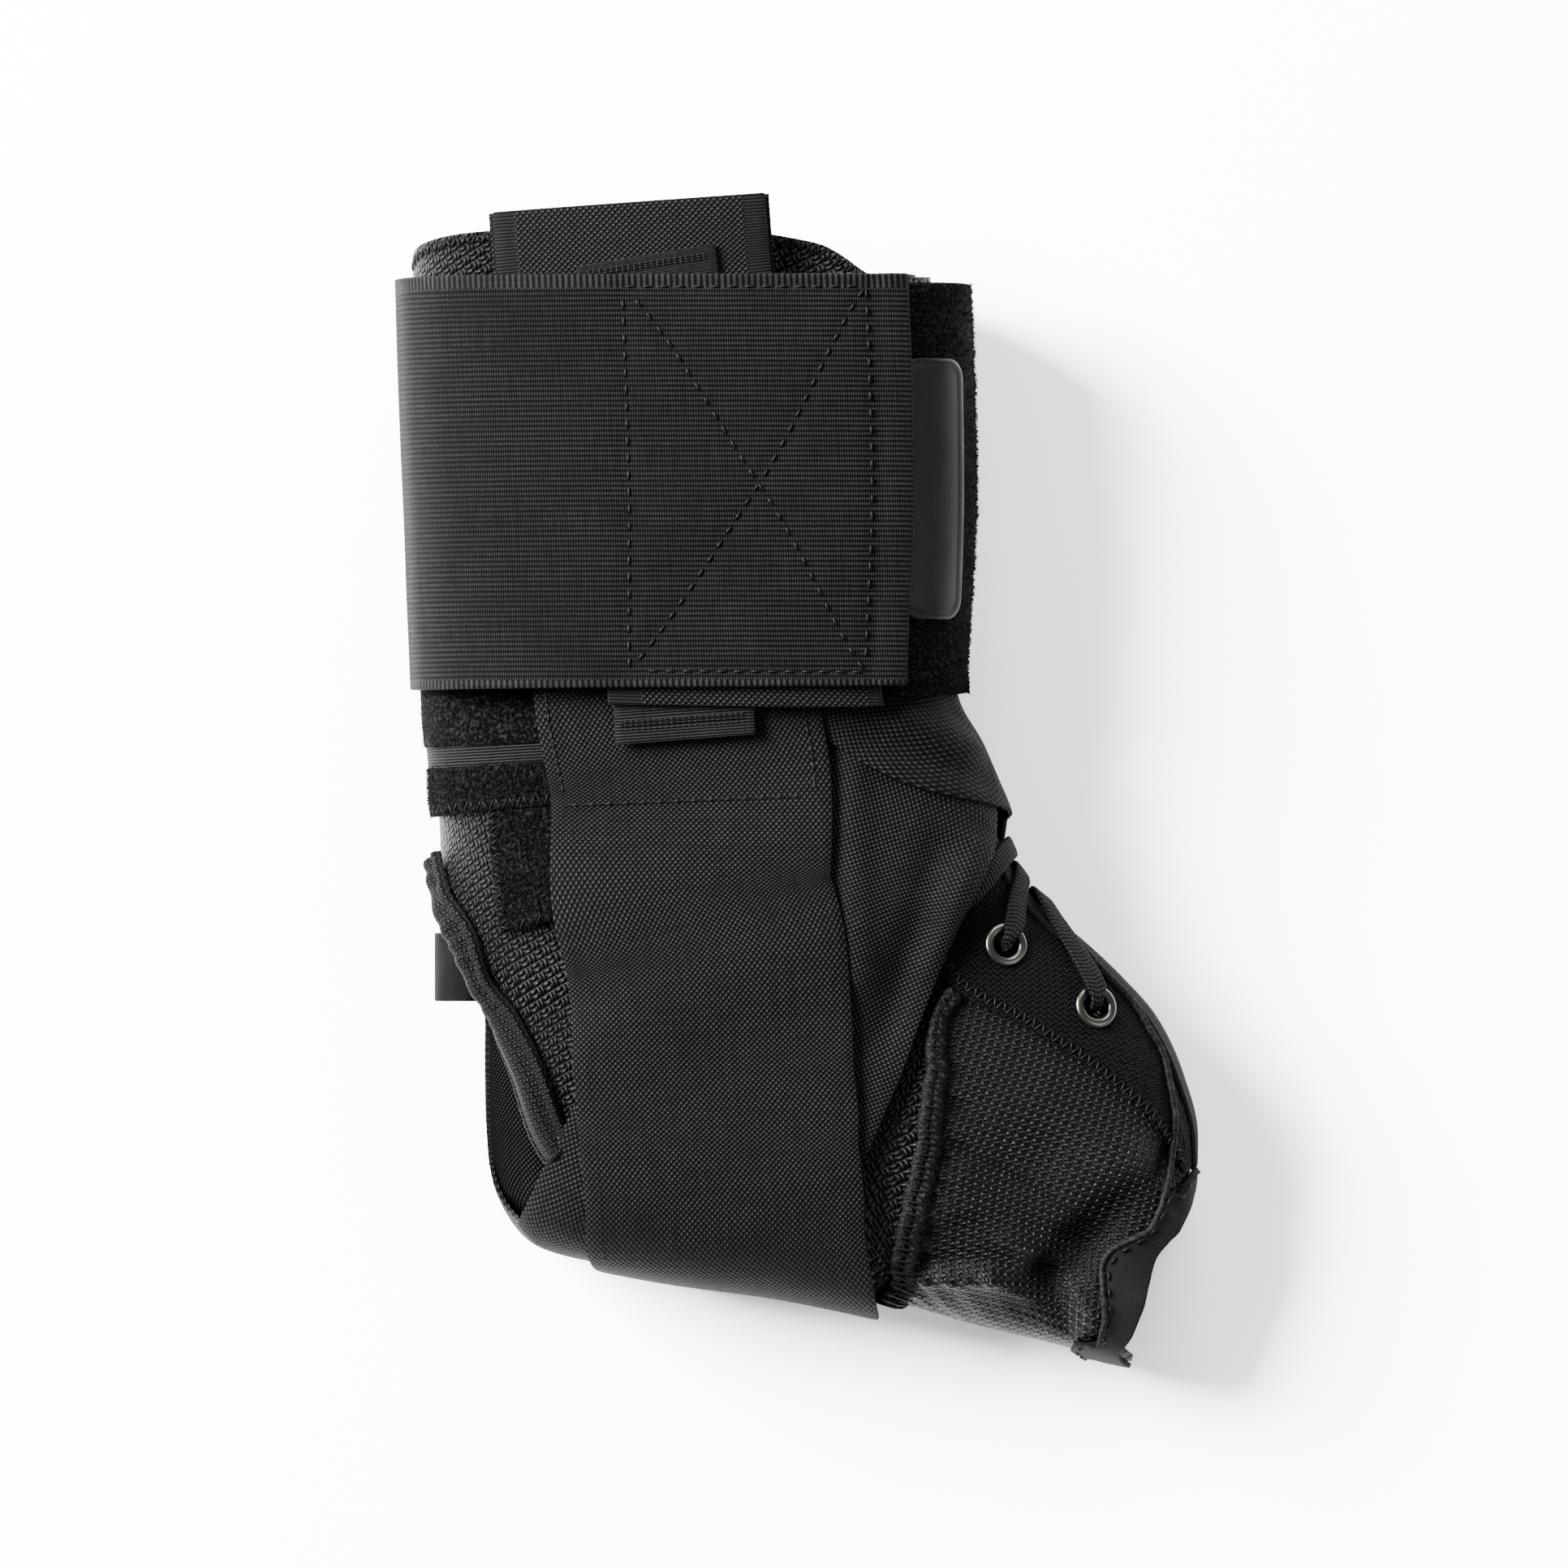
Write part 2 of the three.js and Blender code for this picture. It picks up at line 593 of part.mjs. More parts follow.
// Pile panels that the straps fasten to
add(
  'cuff_pile_panel',
  patch(22, 4, (s, t) => ({ angle: lerp(44, 304, s), station: lerp(1, 3.36, t) }), () => PILE),
  pileCloth,
);
add(
  'cuff_edge_tape',
  patch(18, 1, (s, t) => ({ angle: lerp(70, 290, s), station: lerp(3.46, 3.66, t) }), () => BINDING),
  webbing,
);
add(
  'ankle_pile_band',
  patch(8, 1, (s, t) => ({ angle: lerp(92, 172, s), station: lerp(3.74, 4.02, t) }), () => PILE),
  pileCloth,
);
add(
  'ankle_pile_strip',
  patch(4, 3, (s, t) => ({ angle: lerp(102, 137, s), station: lerp(4.1, 5.16, t) }), () => PILE),
  pileCloth,
);

// Stabilising straps. The far strap is fixed under the cuff on the far face, runs down, under the
// sole and up the near face; the near strap does the same the other way round and lies over it.
const FAR_STRAP_ROUTE = [
  { station: 1.0, angle: 265.5 },
  { station: 2.0, angle: 264.2 },
  { station: 3.17, angle: 262.8 },
  { station: 4.22, angle: 257 },
  { station: 5.47, angle: 248.4 },
  { station: 6.6, angle: 240 },
  { station: 7.6, angle: 232 },
  { station: 8.3, angle: 215 },
  { station: 8.8, angle: 195 },
  { station: 9.0, angle: 178 },
  { station: 8.9, angle: 150 },
  { station: 8.66, angle: 131 },
  { station: 8.25, angle: 112.8 },
  { station: 7.6, angle: 99 },
  { station: 6.17, angle: 81.4 },
  { station: 4.46, angle: 59.6 },
  { station: 3.36, angle: 40 },
  { station: 2.85, angle: 22 },
  { station: 2.6, angle: 4 },
  { station: 2.45, angle: -14 },
];
const NEAR_STRAP_ROUTE = [
  { station: -0.08, angle: 97.2, end: 1 },
  { station: 0.58, angle: 97.2, end: 1 },
  { station: 1.33, angle: 96.3, end: 1 },
  { station: 2.16, angle: 94, end: 1 },
  { station: 2.9, angle: 91.3, end: 1 },
  { station: 3.4, angle: 90.8, end: 1 },
  { station: 4.28, angle: 92.3, end: 0.75 },
  { station: 5.66, angle: 97, end: 0.2 },
  { station: 7.0, angle: 100.1, end: 0 },
  { station: 8.05, angle: 106.5, end: 0 },
  { station: 9.02, angle: 127.3, end: 0 },
  { station: 9.6, angle: 157, end: 0 },
  { station: 9.75, angle: 178, end: 0 },
  { station: 9.71, angle: 196, end: 0 },
  { station: 8.84, angle: 238.5, end: 0 },
  { station: 7.61, angle: 260.9, end: 0 },
  { station: 6.2, angle: 278.7, end: 0 },
  { station: 4.6, angle: 300.4, end: 0 },
  { station: 3.7, angle: 318.7, end: 0 },
  { station: 3.25, angle: 337, end: 0.15 },
  { station: 3.0, angle: 360, end: 0.2 },
  { station: 2.85, angle: 378, end: 0.2 },
  { station: 2.61, angle: 403.4, end: 0.2 },
  { station: 2.45, angle: 420, end: 0.2 },
];
// The near diagonal is lifted where the lace runs under it
const LACE_BUMP = { station: 6.35, angle: 44, along: 1.1, round: 24, rise: 1.9 };
const farStrapLayer = (share, station, angle) => {
  const u = (station - LACE_BUMP.station) / LACE_BUMP.along;
  const w = (angle - LACE_BUMP.angle) / LACE_BUMP.round;
  const rise = LACE_BUMP.rise * Math.exp(-u * u - w * w);
  return { inner: FAR_STRAP.inner + rise, outer: FAR_STRAP.outer + rise };
};
add('far_strap', strip(FAR_STRAP_ROUTE, STRAP_WIDTH, 38, 6, farStrapLayer), webbing);
const nearStrapRows = measured(NEAR_STRAP_ROUTE);
const nearStrapLayer = (share) => {
  const { end } = along(nearStrapRows.rows, 'run', share * nearStrapRows.length, ['end']);
  return { inner: lerp(NEAR_STRAP.inner, STRAP_END.inner, end), outer: lerp(NEAR_STRAP.outer, STRAP_END.outer, end) };
};
add('near_strap', strip(NEAR_STRAP_ROUTE, STRAP_WIDTH, 42, 6, nearStrapLayer), webbing);

// Hook tape on the near strap's end, and the pull tape sewn over it
const HOOK_END_ROUTE = [
  { station: -0.1, angle: 97.2 },
  { station: 0.58, angle: 97.2 },
  { station: 1.33, angle: 96.3 },
  { station: 2.16, angle: 94 },
  { station: 2.9, angle: 91 },
];
add('strap_hook_tape', strip(HOOK_END_ROUTE, HOOK_WIDTH, 6, 4, () => HOOK_END), hookTape);
const PULL_TAPE_ROUTE = [
  { station: 0.74, angle: 94.7 },
  { station: 1.7, angle: 93.1 },
  { station: 2.63, angle: 90 },
  { station: 3.18, angle: 89.5 },
  { station: 3.5, angle: 90.4 },
];
add('pull_tape', strip(PULL_TAPE_ROUTE, PULL_TAPE_WIDTH, 7, 2, () => PULL_TAPE), webbing);

// Closure strap of pile round the front, the elastic strap round the back, and the hook patch that
// joins them on the near face
add(
  'closure_strap',
  patch(
    15,
    4,
    (s, t) => ({ angle: lerp(-96, 54, s), station: lerp(1.02, 3.19, t) }),
    () => CLOSURE,
  ),
  pileCloth,
);
add(
  'hook_patch',
  patch(
    5,
    5,
    quadPlace([
      { station: 1.05, angle: 101.6 },
      { station: 1.05, angle: 47.4 },
      { station: 3.26, angle: 48.1 },
      { station: 3.17, angle: 103.6 },
    ]),
    () => HOOK_PATCH,
  ),
  hookTape,
);
const ELASTIC_DEPTH = [
  { angle: 42, inner: ELASTIC_NEAR.inner },
  { angle: 104, inner: ELASTIC_NEAR.inner },
  { angle: 124, inner: HOOK_PATCH.inner },
  { angle: 138, inner: PULL_TAPE.inner - 0.6 },
  { angle: 152, inner: lerp(ELASTIC_BACK.inner, PULL_TAPE.inner, 0.42) },
  { angle: 168, inner: ELASTIC_BACK.inner + 0.3 },
  { angle: 182, inner: ELASTIC_BACK.inner },
  { angle: 206, inner: ELASTIC_BACK.inner + 0.6 },
  { angle: 238, inner: ELASTIC_FAR.inner },
  { angle: 302, inner: ELASTIC_FAR.inner },
];
const ELASTIC_TOP = 0.95;
const ELASTIC_BOTTOM = 3.05;
add(
  'elastic_strap',
  patch(
    27,
    5,
    (s, t) => ({ angle: lerp(42, 297, s), station: lerp(ELASTIC_TOP, ELASTIC_BOTTOM, t) }),
    (station, angle) => {
      const { inner } = along(ELASTIC_DEPTH, 'angle', angle, ['inner']);
      return { inner, outer: inner + ELASTIC_WALL };
    },
  ),
  elasticWeb,
);

// The moulded label on the closure strap, a plate with rounded corners: its rows run across it, each
// at a share of the half length and as wide as the outline is there
const LABEL_PLACE = { station: 2.02, angle: 29 };
const LABEL_ROWS = [1, 0.965, 0.9, 0.836, 0.5, 0, -0.5, -0.836, -0.9, -0.965, -1];
const LABEL_COLUMNS = 3;
function labelGeometry() {
  const { station, angle } = LABEL_PLACE;
  const forward = clothPoint(station + STATION_STEP, angle, 0)
    .sub(clothPoint(station - STATION_STEP, angle, 0))
    .normalize();
  const outer = [];
  const inner = [];
  for (const row of LABEL_ROWS) {
    const y = (row * LABEL_LENGTH) / 2;
    const past = Math.max(Math.abs(y) - (LABEL_LENGTH / 2 - LABEL_CORNER), 0);
    const halfWidth = LABEL_WIDTH / 2 - LABEL_CORNER + Math.sqrt(LABEL_CORNER ** 2 - past ** 2);
    const sideways = formNormal(station, angle).cross(forward);
    const centre = walkAcross(LABEL_PLACE, LABEL.inner, sideways, y, Math.ceil(Math.abs(y) / WALK_STEP) || 1);
    outer.push([]);
    inner.push([]);
    for (let j = 0; j <= LABEL_COLUMNS; j++) {
      const x = halfWidth * ((2 * j) / LABEL_COLUMNS - 1);
      const place = walkAcross(centre, LABEL.inner, forward, x, 2);
      outer[outer.length - 1].push(clothPoint(place.station, place.angle, LABEL.outer));
      inner[inner.length - 1].push(clothPoint(place.station, place.angle, LABEL.inner));
    }
  }
  return slabGeometry(outer, inner);
}
add('rubber_label', labelGeometry(), labelRubber);

// Bindings of the heel opening and the loop of cloth at its back
const NEAR_HEEL_ROUTE = [
  { station: 4.4, angle: 173 },
  { station: 4.7, angle: 167 },
  { station: 5.2, angle: 154 },
  { station: 5.64, angle: 157 },
  { station: 5.96, angle: 154 },
  { station: 6.5, angle: 144 },
  { station: 7.3, angle: 137 },
];
add('near_heel_binding', strip(NEAR_HEEL_ROUTE, HEEL_BINDING_WIDTH, 14, 1, () => HEEL_BINDING), stayCloth);
const FAR_HEEL_ROUTE = [
  { station: 4.6, angle: 196 },
  { station: 5.2, angle: 208 },
  { station: 5.4, angle: 209 },
];
add('far_heel_binding', strip(FAR_HEEL_ROUTE, HEEL_BINDING_WIDTH, 4, 1, () => HEEL_BINDING), stayCloth);

// Eyelets: a flanged tube through the stay and the boot
const flangeTop = STAY.outer + EYELET_SEAT;
const flangeUnder = -MESH_WALL - 2 * EYELET_SEAT;
const INNER_FLANGE = 0.86;
const EYELET_LIP = 0.6;
function eyeletProfile() {
  const bore = EYELET_BORE / 2;
  const barrel = bore + EYELET_METAL;
  const rim = EYELET_FLANGE / 2;
  return [
    new THREE.Vector2(bore, flangeUnder - EYELET_METAL),
    new THREE.Vector2(rim * INNER_FLANGE, flangeUnder - EYELET_METAL),
    new THREE.Vector2(rim * INNER_FLANGE, flangeUnder),
    new THREE.Vector2(barrel, flangeUnder),
    new THREE.Vector2(barrel, flangeTop),
    new THREE.Vector2(rim, flangeTop),
    new THREE.Vector2(lerp(bore, rim, 0.7), flangeTop + EYELET_LIP),
    new THREE.Vector2(lerp(bore, rim, 0.25), flangeTop + EYELET_LIP),
    new THREE.Vector2(bore, flangeTop),
    new THREE.Vector2(bore, flangeUnder - EYELET_METAL),
  ];
}
for (const eyelet of EYELETS) {
  const ring = new THREE.LatheGeometry(eyeletProfile(), EYELET_SIDES);
  ring.deleteAttribute('normal');
  ring.deleteAttribute('uv');
  add(eyelet.name + '_eyelet', facingOut(stoodOn(mergeVertices(ring, 1e-4), eyelet, 0)), nickel);
}

// The lace, one flat band whose two halves start from a bar between the lower eyelets. Its rows give
// the place and the offset of its middle; an eyelet's name stands for the place of its bore.
const LACE_OVER = STAY.outer + CLEAR + LACE_THICKNESS / 2;
const LACE_OVER_FLANGE = flangeTop + EYELET_LIP + CLEAR + LACE_THICKNESS / 2;
const LACE_UNDER = -MESH_WALL - CLEAR - LACE_THICKNESS / 2;
const LACE_UNDER_FLANGE = flangeUnder - EYELET_METAL - CLEAR - LACE_THICKNESS / 2;
const LACE_CROSS_OVER = 1.4;
const LACE_ROUTE = [
  { station: 6.4, angle: 50, offset: LACE_OVER },
  { station: 6.25, angle: 40, offset: LACE_OVER },
  { station: 5.95, angle: 26, offset: LACE_OVER + 0.3 },
  { station: 5.75, angle: 10, offset: LACE_OVER + 0.6 },
  { station: 5.85, angle: -10, offset: LACE_CROSS_OVER },
  { station: 6.35, angle: -26, offset: LACE_OVER + 0.2 },
  { station: 6.9, angle: -38, offset: LACE_OVER + 0.2 },
  { station: 7.25, angle: -47, offset: LACE_OVER_FLANGE },
  { bore: 'upper_far', down: true },
  { station: 7.25, angle: -47, offset: LACE_UNDER_FLANGE },
  { station: 7.1, angle: -36, offset: LACE_UNDER },
  { station: 6.95, angle: -18, offset: LACE_UNDER },
  { station: 6.85, angle: -2, offset: 0 },
  { station: 6.85, angle: 11, offset: LACE_OVER + 0.3 },
  { station: 7.5, angle: 19, offset: LACE_OVER },
  { station: 8.2, angle: 26.5, offset: LACE_OVER },
  { station: 8.85, angle: 34, offset: LACE_OVER_FLANGE },
  { bore: 'lower_near', down: true },
  { station: 8.95, angle: 31, offset: LACE_UNDER_FLANGE },
  { station: 8.85, angle: 12, offset: LACE_UNDER },
  { station: 8.85, angle: -14, offset: LACE_UNDER },
  { station: 8.9, angle: -36, offset: LACE_UNDER },
  { station: 8.95, angle: -47, offset: LACE_UNDER_FLANGE },
  { bore: 'lower_far', down: false },
  { station: 8.75, angle: -47, offset: LACE_OVER_FLANGE },
  { station: 8.45, angle: -38, offset: LACE_OVER },
  { station: 8.2, angle: -25, offset: LACE_OVER },
  { station: 7.9, angle: -10, offset: -1 },
  { station: 7.65, angle: 8, offset: LACE_UNDER },
  { station: 7.5, angle: 26, offset: LACE_UNDER },
  { station: 7.45, angle: 35, offset: LACE_UNDER_FLANGE },
  { bore: 'upper_near', down: false },
  { station: 7.1, angle: 36, offset: LACE_OVER_FLANGE },
  { station: 6.7, angle: 27, offset: LACE_OVER },
  { station: 6.3, angle: 11, offset: LACE_OVER + 0.2 },
  { station: 6.15, angle: -3, offset: 0 },
  { station: 6.0, angle: -18, offset: LACE_UNDER },
  { station: 5.9, angle: -32, offset: LACE_UNDER - 0.3 },
  { station: 5.8, angle: -46, offset: LACE_UNDER - 0.3 },
];
const BORE_HALF = 1.2; // half the lace's width where an eyelet gathers it
const BORE_LIP = 1.3; // how far from the bore's middle the lace turns over its rim
function lacePoints() {
  const points = [];
  LACE_ROUTE.forEach((row, i) => {
    if (!row.bore) {
      const point = clothPoint(row.station, row.angle, row.offset);
      points.push({ point, normal: formNormal(row.station, row.angle), half: LACE_WIDTH / 2 });
      return;
    }
    const eyelet = EYELETS.find((one) => one.name === row.bore);
    const normal = formNormal(eyelet.station, eyelet.angle);
    const foot = clothPoint(eyelet.station, eyelet.angle, 0);
    const level = (offset) => foot.clone().addScaledVector(normal, offset);
    const lip = (neighbour, offset) => {
      const away = clothPoint(neighbour.station, neighbour.angle, 0).sub(foot);
      away.addScaledVector(normal, -away.dot(normal)).setLength(BORE_LIP);
      return level(offset).add(away);
    };
    const [upper, lower] = row.down ? [LACE_ROUTE[i - 1], LACE_ROUTE[i + 1]] : [LACE_ROUTE[i + 1], LACE_ROUTE[i - 1]];
    const downwards = [
      lip(upper, LACE_OVER_FLANGE - CLEAR / 2),
      level(flangeTop),
      level(flangeUnder),
      lip(lower, LACE_UNDER_FLANGE + CLEAR / 2),
    ];
    if (!row.down) downwards.reverse();
    for (const point of downwards) points.push({ point, normal, half: BORE_HALF });
  });
  return points;
}
function laceGeometry() {
  const rows = lacePoints();
  const last = rows.length - 1;
  const curve = new THREE.CatmullRomCurve3(rows.map((row) => row.point), false, 'centripetal');
  const outer = [];
  const inner = [];
  let side = null;
  for (let i = 0; i <= last * 2; i++) {
    const u = i / (last * 2);
    const [row, next] = [rows[Math.floor(i / 2)], rows[Math.ceil(i / 2)]];
    const tangent = curve.getTangent(u);
    const flat = tangent.clone().addScaledVector(row.normal, -tangent.dot(row.normal));
    if (flat.length() > 0.5 || side === null) {
      const turned = row.normal.clone().cross(flat).normalize();
      if (side !== null && turned.dot(side) < 0) turned.negate();
      side = turned;
    }
    const across = side.clone().addScaledVector(tangent, -side.dot(tangent)).normalize();
    const up = tangent.clone().cross(across);
    const half = (row.half + next.half) / 2;
    const centre = curve.getPoint(u);
    const corner = (a, b) =>
      centre.clone().addScaledVector(across, a * half).addScaledVector(up, (b * LACE_THICKNESS) / 2);
    outer.push([corner(-1, 1), corner(1, 1)]);
    inner.push([corner(-1, -1), corner(1, -1)]);
  }
  return slabGeometry(outer, inner);
}
add('lace', laceGeometry(), laceCord);

// The loop of cloth that hangs at the back of the heel: a bent strip open downwards
const LOOP_LENGTH = 13;
const LOOP_WALL = 0.9;
const LOOP_AT = { x: -0.4245, y: -0.187, z: 15.6 };
function heelLoopGeometry() {
  const half = HEEL_LOOP_WIDTH / 2;
  const shape = new THREE.Shape();
  shape.absarc(0, 0, half, 0, Math.PI, false);
  shape.absarc(0, 0, half - LOOP_WALL, Math.PI, 0, true);
  const arch = new THREE.ExtrudeGeometry(shape, { depth: LOOP_LENGTH, bevelEnabled: false, curveSegments: 7 });
  arch.deleteAttribute('normal');
  arch.deleteAttribute('uv');
  arch.rotateX(Math.PI / 2);
  return mergeVertices(arch.translate(LOOP_AT.x * REACH, LOOP_AT.y * HEIGHT + LOOP_LENGTH, LOOP_AT.z), 1e-4);
}
add('heel_loop', heelLoopGeometry(), stayCloth);

export default brace;
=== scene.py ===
"""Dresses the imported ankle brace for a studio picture, seen from straight above.

The brace lies on its outer side. Every cloth piece follows one flattened ankle form, whose places
are a station (rows that fan round the instep, cuff to toes) and an angle (0 at the instep, 90 on
the near face, 180 at the heel side, below 0 on the face that lies on the floor). Cloth sizes are
in millimetres, as on a pattern cutter's sheet, and become metres when a mesh is made.
"""
import logging
import math
from dataclasses import dataclass, field
from enum import Enum
from typing import Any, Callable, Optional, Sequence

import bpy
import numpy as np
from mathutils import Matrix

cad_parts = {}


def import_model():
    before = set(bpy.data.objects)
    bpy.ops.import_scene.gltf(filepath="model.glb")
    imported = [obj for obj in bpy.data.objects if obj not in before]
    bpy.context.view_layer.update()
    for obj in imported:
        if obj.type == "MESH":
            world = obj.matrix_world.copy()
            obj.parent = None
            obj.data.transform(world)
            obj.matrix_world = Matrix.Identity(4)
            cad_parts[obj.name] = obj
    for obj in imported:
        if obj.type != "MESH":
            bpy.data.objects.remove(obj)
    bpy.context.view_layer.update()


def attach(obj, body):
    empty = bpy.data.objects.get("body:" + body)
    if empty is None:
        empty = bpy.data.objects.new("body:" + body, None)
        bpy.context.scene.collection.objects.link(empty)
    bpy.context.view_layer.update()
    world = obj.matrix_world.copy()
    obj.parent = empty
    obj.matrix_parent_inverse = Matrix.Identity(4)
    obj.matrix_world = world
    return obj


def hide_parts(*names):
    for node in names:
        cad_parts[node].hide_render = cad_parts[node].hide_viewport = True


LOG = logging.getLogger("ankle_brace")
MM = 0.001
Array = np.ndarray

# Driving sizes, in millimetres, as in the solid model
REACH, HEIGHT, THICKNESS = 152.4, 221.0, 38.0
PADDED_WALL, MESH_WALL, TONGUE_WALL, STAY_WALL, BINDING_WALL = 3.0, 1.4, 2.6, 0.7, 0.8
PILE_WALL, WEB_WALL, HOOK_WALL, TAPE_WALL, CLOSURE_WALL = 1.2, 0.9, 0.8, 0.7, 1.4
LABEL_WALL, ELASTIC_WALL = 1.0, 1.4
CLEAR, CROSS_CLEAR = 0.45, 0.75
# Narrower cloth isn't passed on to Workshop.sheet
LEAST_SHEET = 10.5
STRAP_WIDTH, PULL_TAPE_WIDTH, HOOK_WIDTH = 53.0, 26.5, 51.5


@dataclass(frozen=True)
class Layer:
    """One layer of cloth: its inner and outer offset from the form, in millimetres."""

    inner: float
    outer: float

    def above(self, wall: float, clear: float = CLEAR) -> "Layer":
        """Returns the layer of a given wall that lies on this one."""
        return Layer(self.outer + clear, self.outer + clear + wall)


SKIN = Layer(-MESH_WALL, 0.0)
STAY = SKIN.above(STAY_WALL)
BINDING = SKIN.above(BINDING_WALL)
HEEL_BINDING = SKIN.above(BINDING_WALL, 2 * CLEAR)
PILE = SKIN.above(PILE_WALL)
FAR_STRAP = PILE.above(WEB_WALL)
NEAR_STRAP = FAR_STRAP.above(WEB_WALL, CROSS_CLEAR)
CLOSURE = NEAR_STRAP.above(CLOSURE_WALL, CROSS_CLEAR)
STRAP_END = NEAR_STRAP.above(WEB_WALL)
HOOK_END = STRAP_END.above(HOOK_WALL)
PULL_TAPE = HOOK_END.above(TAPE_WALL)
HOOK_PATCH = PULL_TAPE.above(HOOK_WALL)
LABEL = CLOSURE.above(LABEL_WALL)
ELASTIC_NEAR = HOOK_PATCH.above(ELASTIC_WALL)
ELASTIC_FAR = CLOSURE.above(ELASTIC_WALL)
ELASTIC_BACK = PILE.above(ELASTIC_WALL)
FLOOR_GAP = ELASTIC_FAR.outer


@dataclass(frozen=True)
class Table:
    """Rows of a smooth monotone curve: a rising key and the values at it."""

    rows: tuple[tuple[float, ...], ...]

    def read(self, key: Array) -> Array:
        """Reads the curve.

        Args:
            key: where to read it.

        Returns:
            One value for each key, or a last axis of values where a row holds several.
        """
        rows = np.array(self.rows)
        knots, values = rows[:, 0], rows[:, 1:]
        secants = np.diff(values, axis=0) / np.diff(knots)[:, None]
        left = np.concatenate([secants[:1], secants])
        right = np.concatenate([secants, secants[-1:]])
        total = np.where(left + right == 0, 1, left + right)
        slopes = np.where(left * right > 0, 2 * left * right / total, 0)
        key = np.asarray(key, float)
        i = np.clip(np.searchsorted(knots, key, side="right") - 1, 0, len(knots) - 2)
        span = (knots[i + 1] - knots[i])[..., None]
        t = np.clip((key - knots[i])[..., None] / span, 0, 1)
        start = (1 + 2 * t) * (1 - t) ** 2 * values[i] + t * (1 - t) ** 2 * span * slopes[i]
        end = t * t * (3 - 2 * t) * values[i + 1] + t * t * (t - 1) * span * slopes[i + 1]
        result = start + end
        return result[..., 0] if values.shape[1] == 1 else result


# Station, back edge x and y, front edge x and y as shares of REACH and HEIGHT, thickness as a
# share of THICKNESS, height of the far face as a share of FLOOR_GAP
STATIONS = Table((
    (-1, -0.487, 0.533, 0.159, 0.533, 0.895, 1), (0, -0.483, 0.49, 0.165, 0.49, 0.895, 1),
    (1, -0.478, 0.429, 0.171, 0.429, 0.895, 1), (2, -0.469, 0.255, 0.179, 0.255, 0.895, 1),
    (3, -0.459, 0.088, 0.167, 0.088, 0.895, 1), (4, -0.447, -0.024, 0.207, 0.022, 0.947, 0.72),
    (5, -0.435, -0.121, 0.236, -0.026, 1, 0.6), (6, -0.38, -0.212, 0.26, -0.068, 1, 0.575),
    (7, -0.372, -0.316, 0.302, -0.106, 0.947, 0.575), (8, -0.326, -0.381, 0.355, -0.135, 0.921, 0.575),
    (9, -0.184, -0.406, 0.405, -0.168, 0.895, 0.575), (10, -0.023, -0.423, 0.446, -0.202, 0.842, 0.565),
    (11, 0.129, -0.446, 0.476, -0.248, 0.789, 0.5), (12, 0.27, -0.473, 0.493, -0.299, 0.711, 0.35),
    (13, 0.421, -0.498, 0.49, -0.351, 0.632, 0.25),
))
FIRST_STATION, LAST_STATION = -1.0, 13.0
SWELL_ENDS, SWELL_NEAR, SWELL_FAR, FLAT_FAR = 0.2, 0.3, 0.5, 1.02
# Folds of the cloth: station, angle, length along, width round, rise
FOLDS = (
    (11.9, 100, 0.32, 26, -3.2), (11.3, 124, 0.35, 16, 1.8), (12.5, 128, 0.3, 22, 2.4),
    (10.6, 84, 0.45, 12, -1.3), (11.4, 66, 0.55, 14, 1.6), (12.1, 48, 0.4, 12, -1.2),
    (10.4, 104, 0.28, 10, 1.2), (5.45, 146, 0.34, 14, 1.4), (6.0, 134, 0.3, 12, -1.2),
    (4.9, 158, 0.35, 6, 0.9),
)
STATION_STEP, ANGLE_STEP = 0.02, 0.5


def lerp(a: Any, b: Any, t: Any) -> Any:
    """Returns the value a share t of the way from a to b."""
    return a + (b - a) * t


def unit(v: Array) -> Array:
    """Returns vectors of length 1 along the last axis."""
    return v / np.maximum(np.linalg.norm(v, axis=-1, keepdims=True), 1e-9)


def bell(x: Array) -> Array:
    """Returns a smooth bump of height 1 and width about 1 at 0."""
    return np.exp(-x * x)


def run_along(points: Array) -> Array:
    """Returns the run from the first of a line of points to each of them."""
    return np.concatenate([[0], np.linalg.norm(np.diff(points, axis=0), axis=-1).cumsum()])


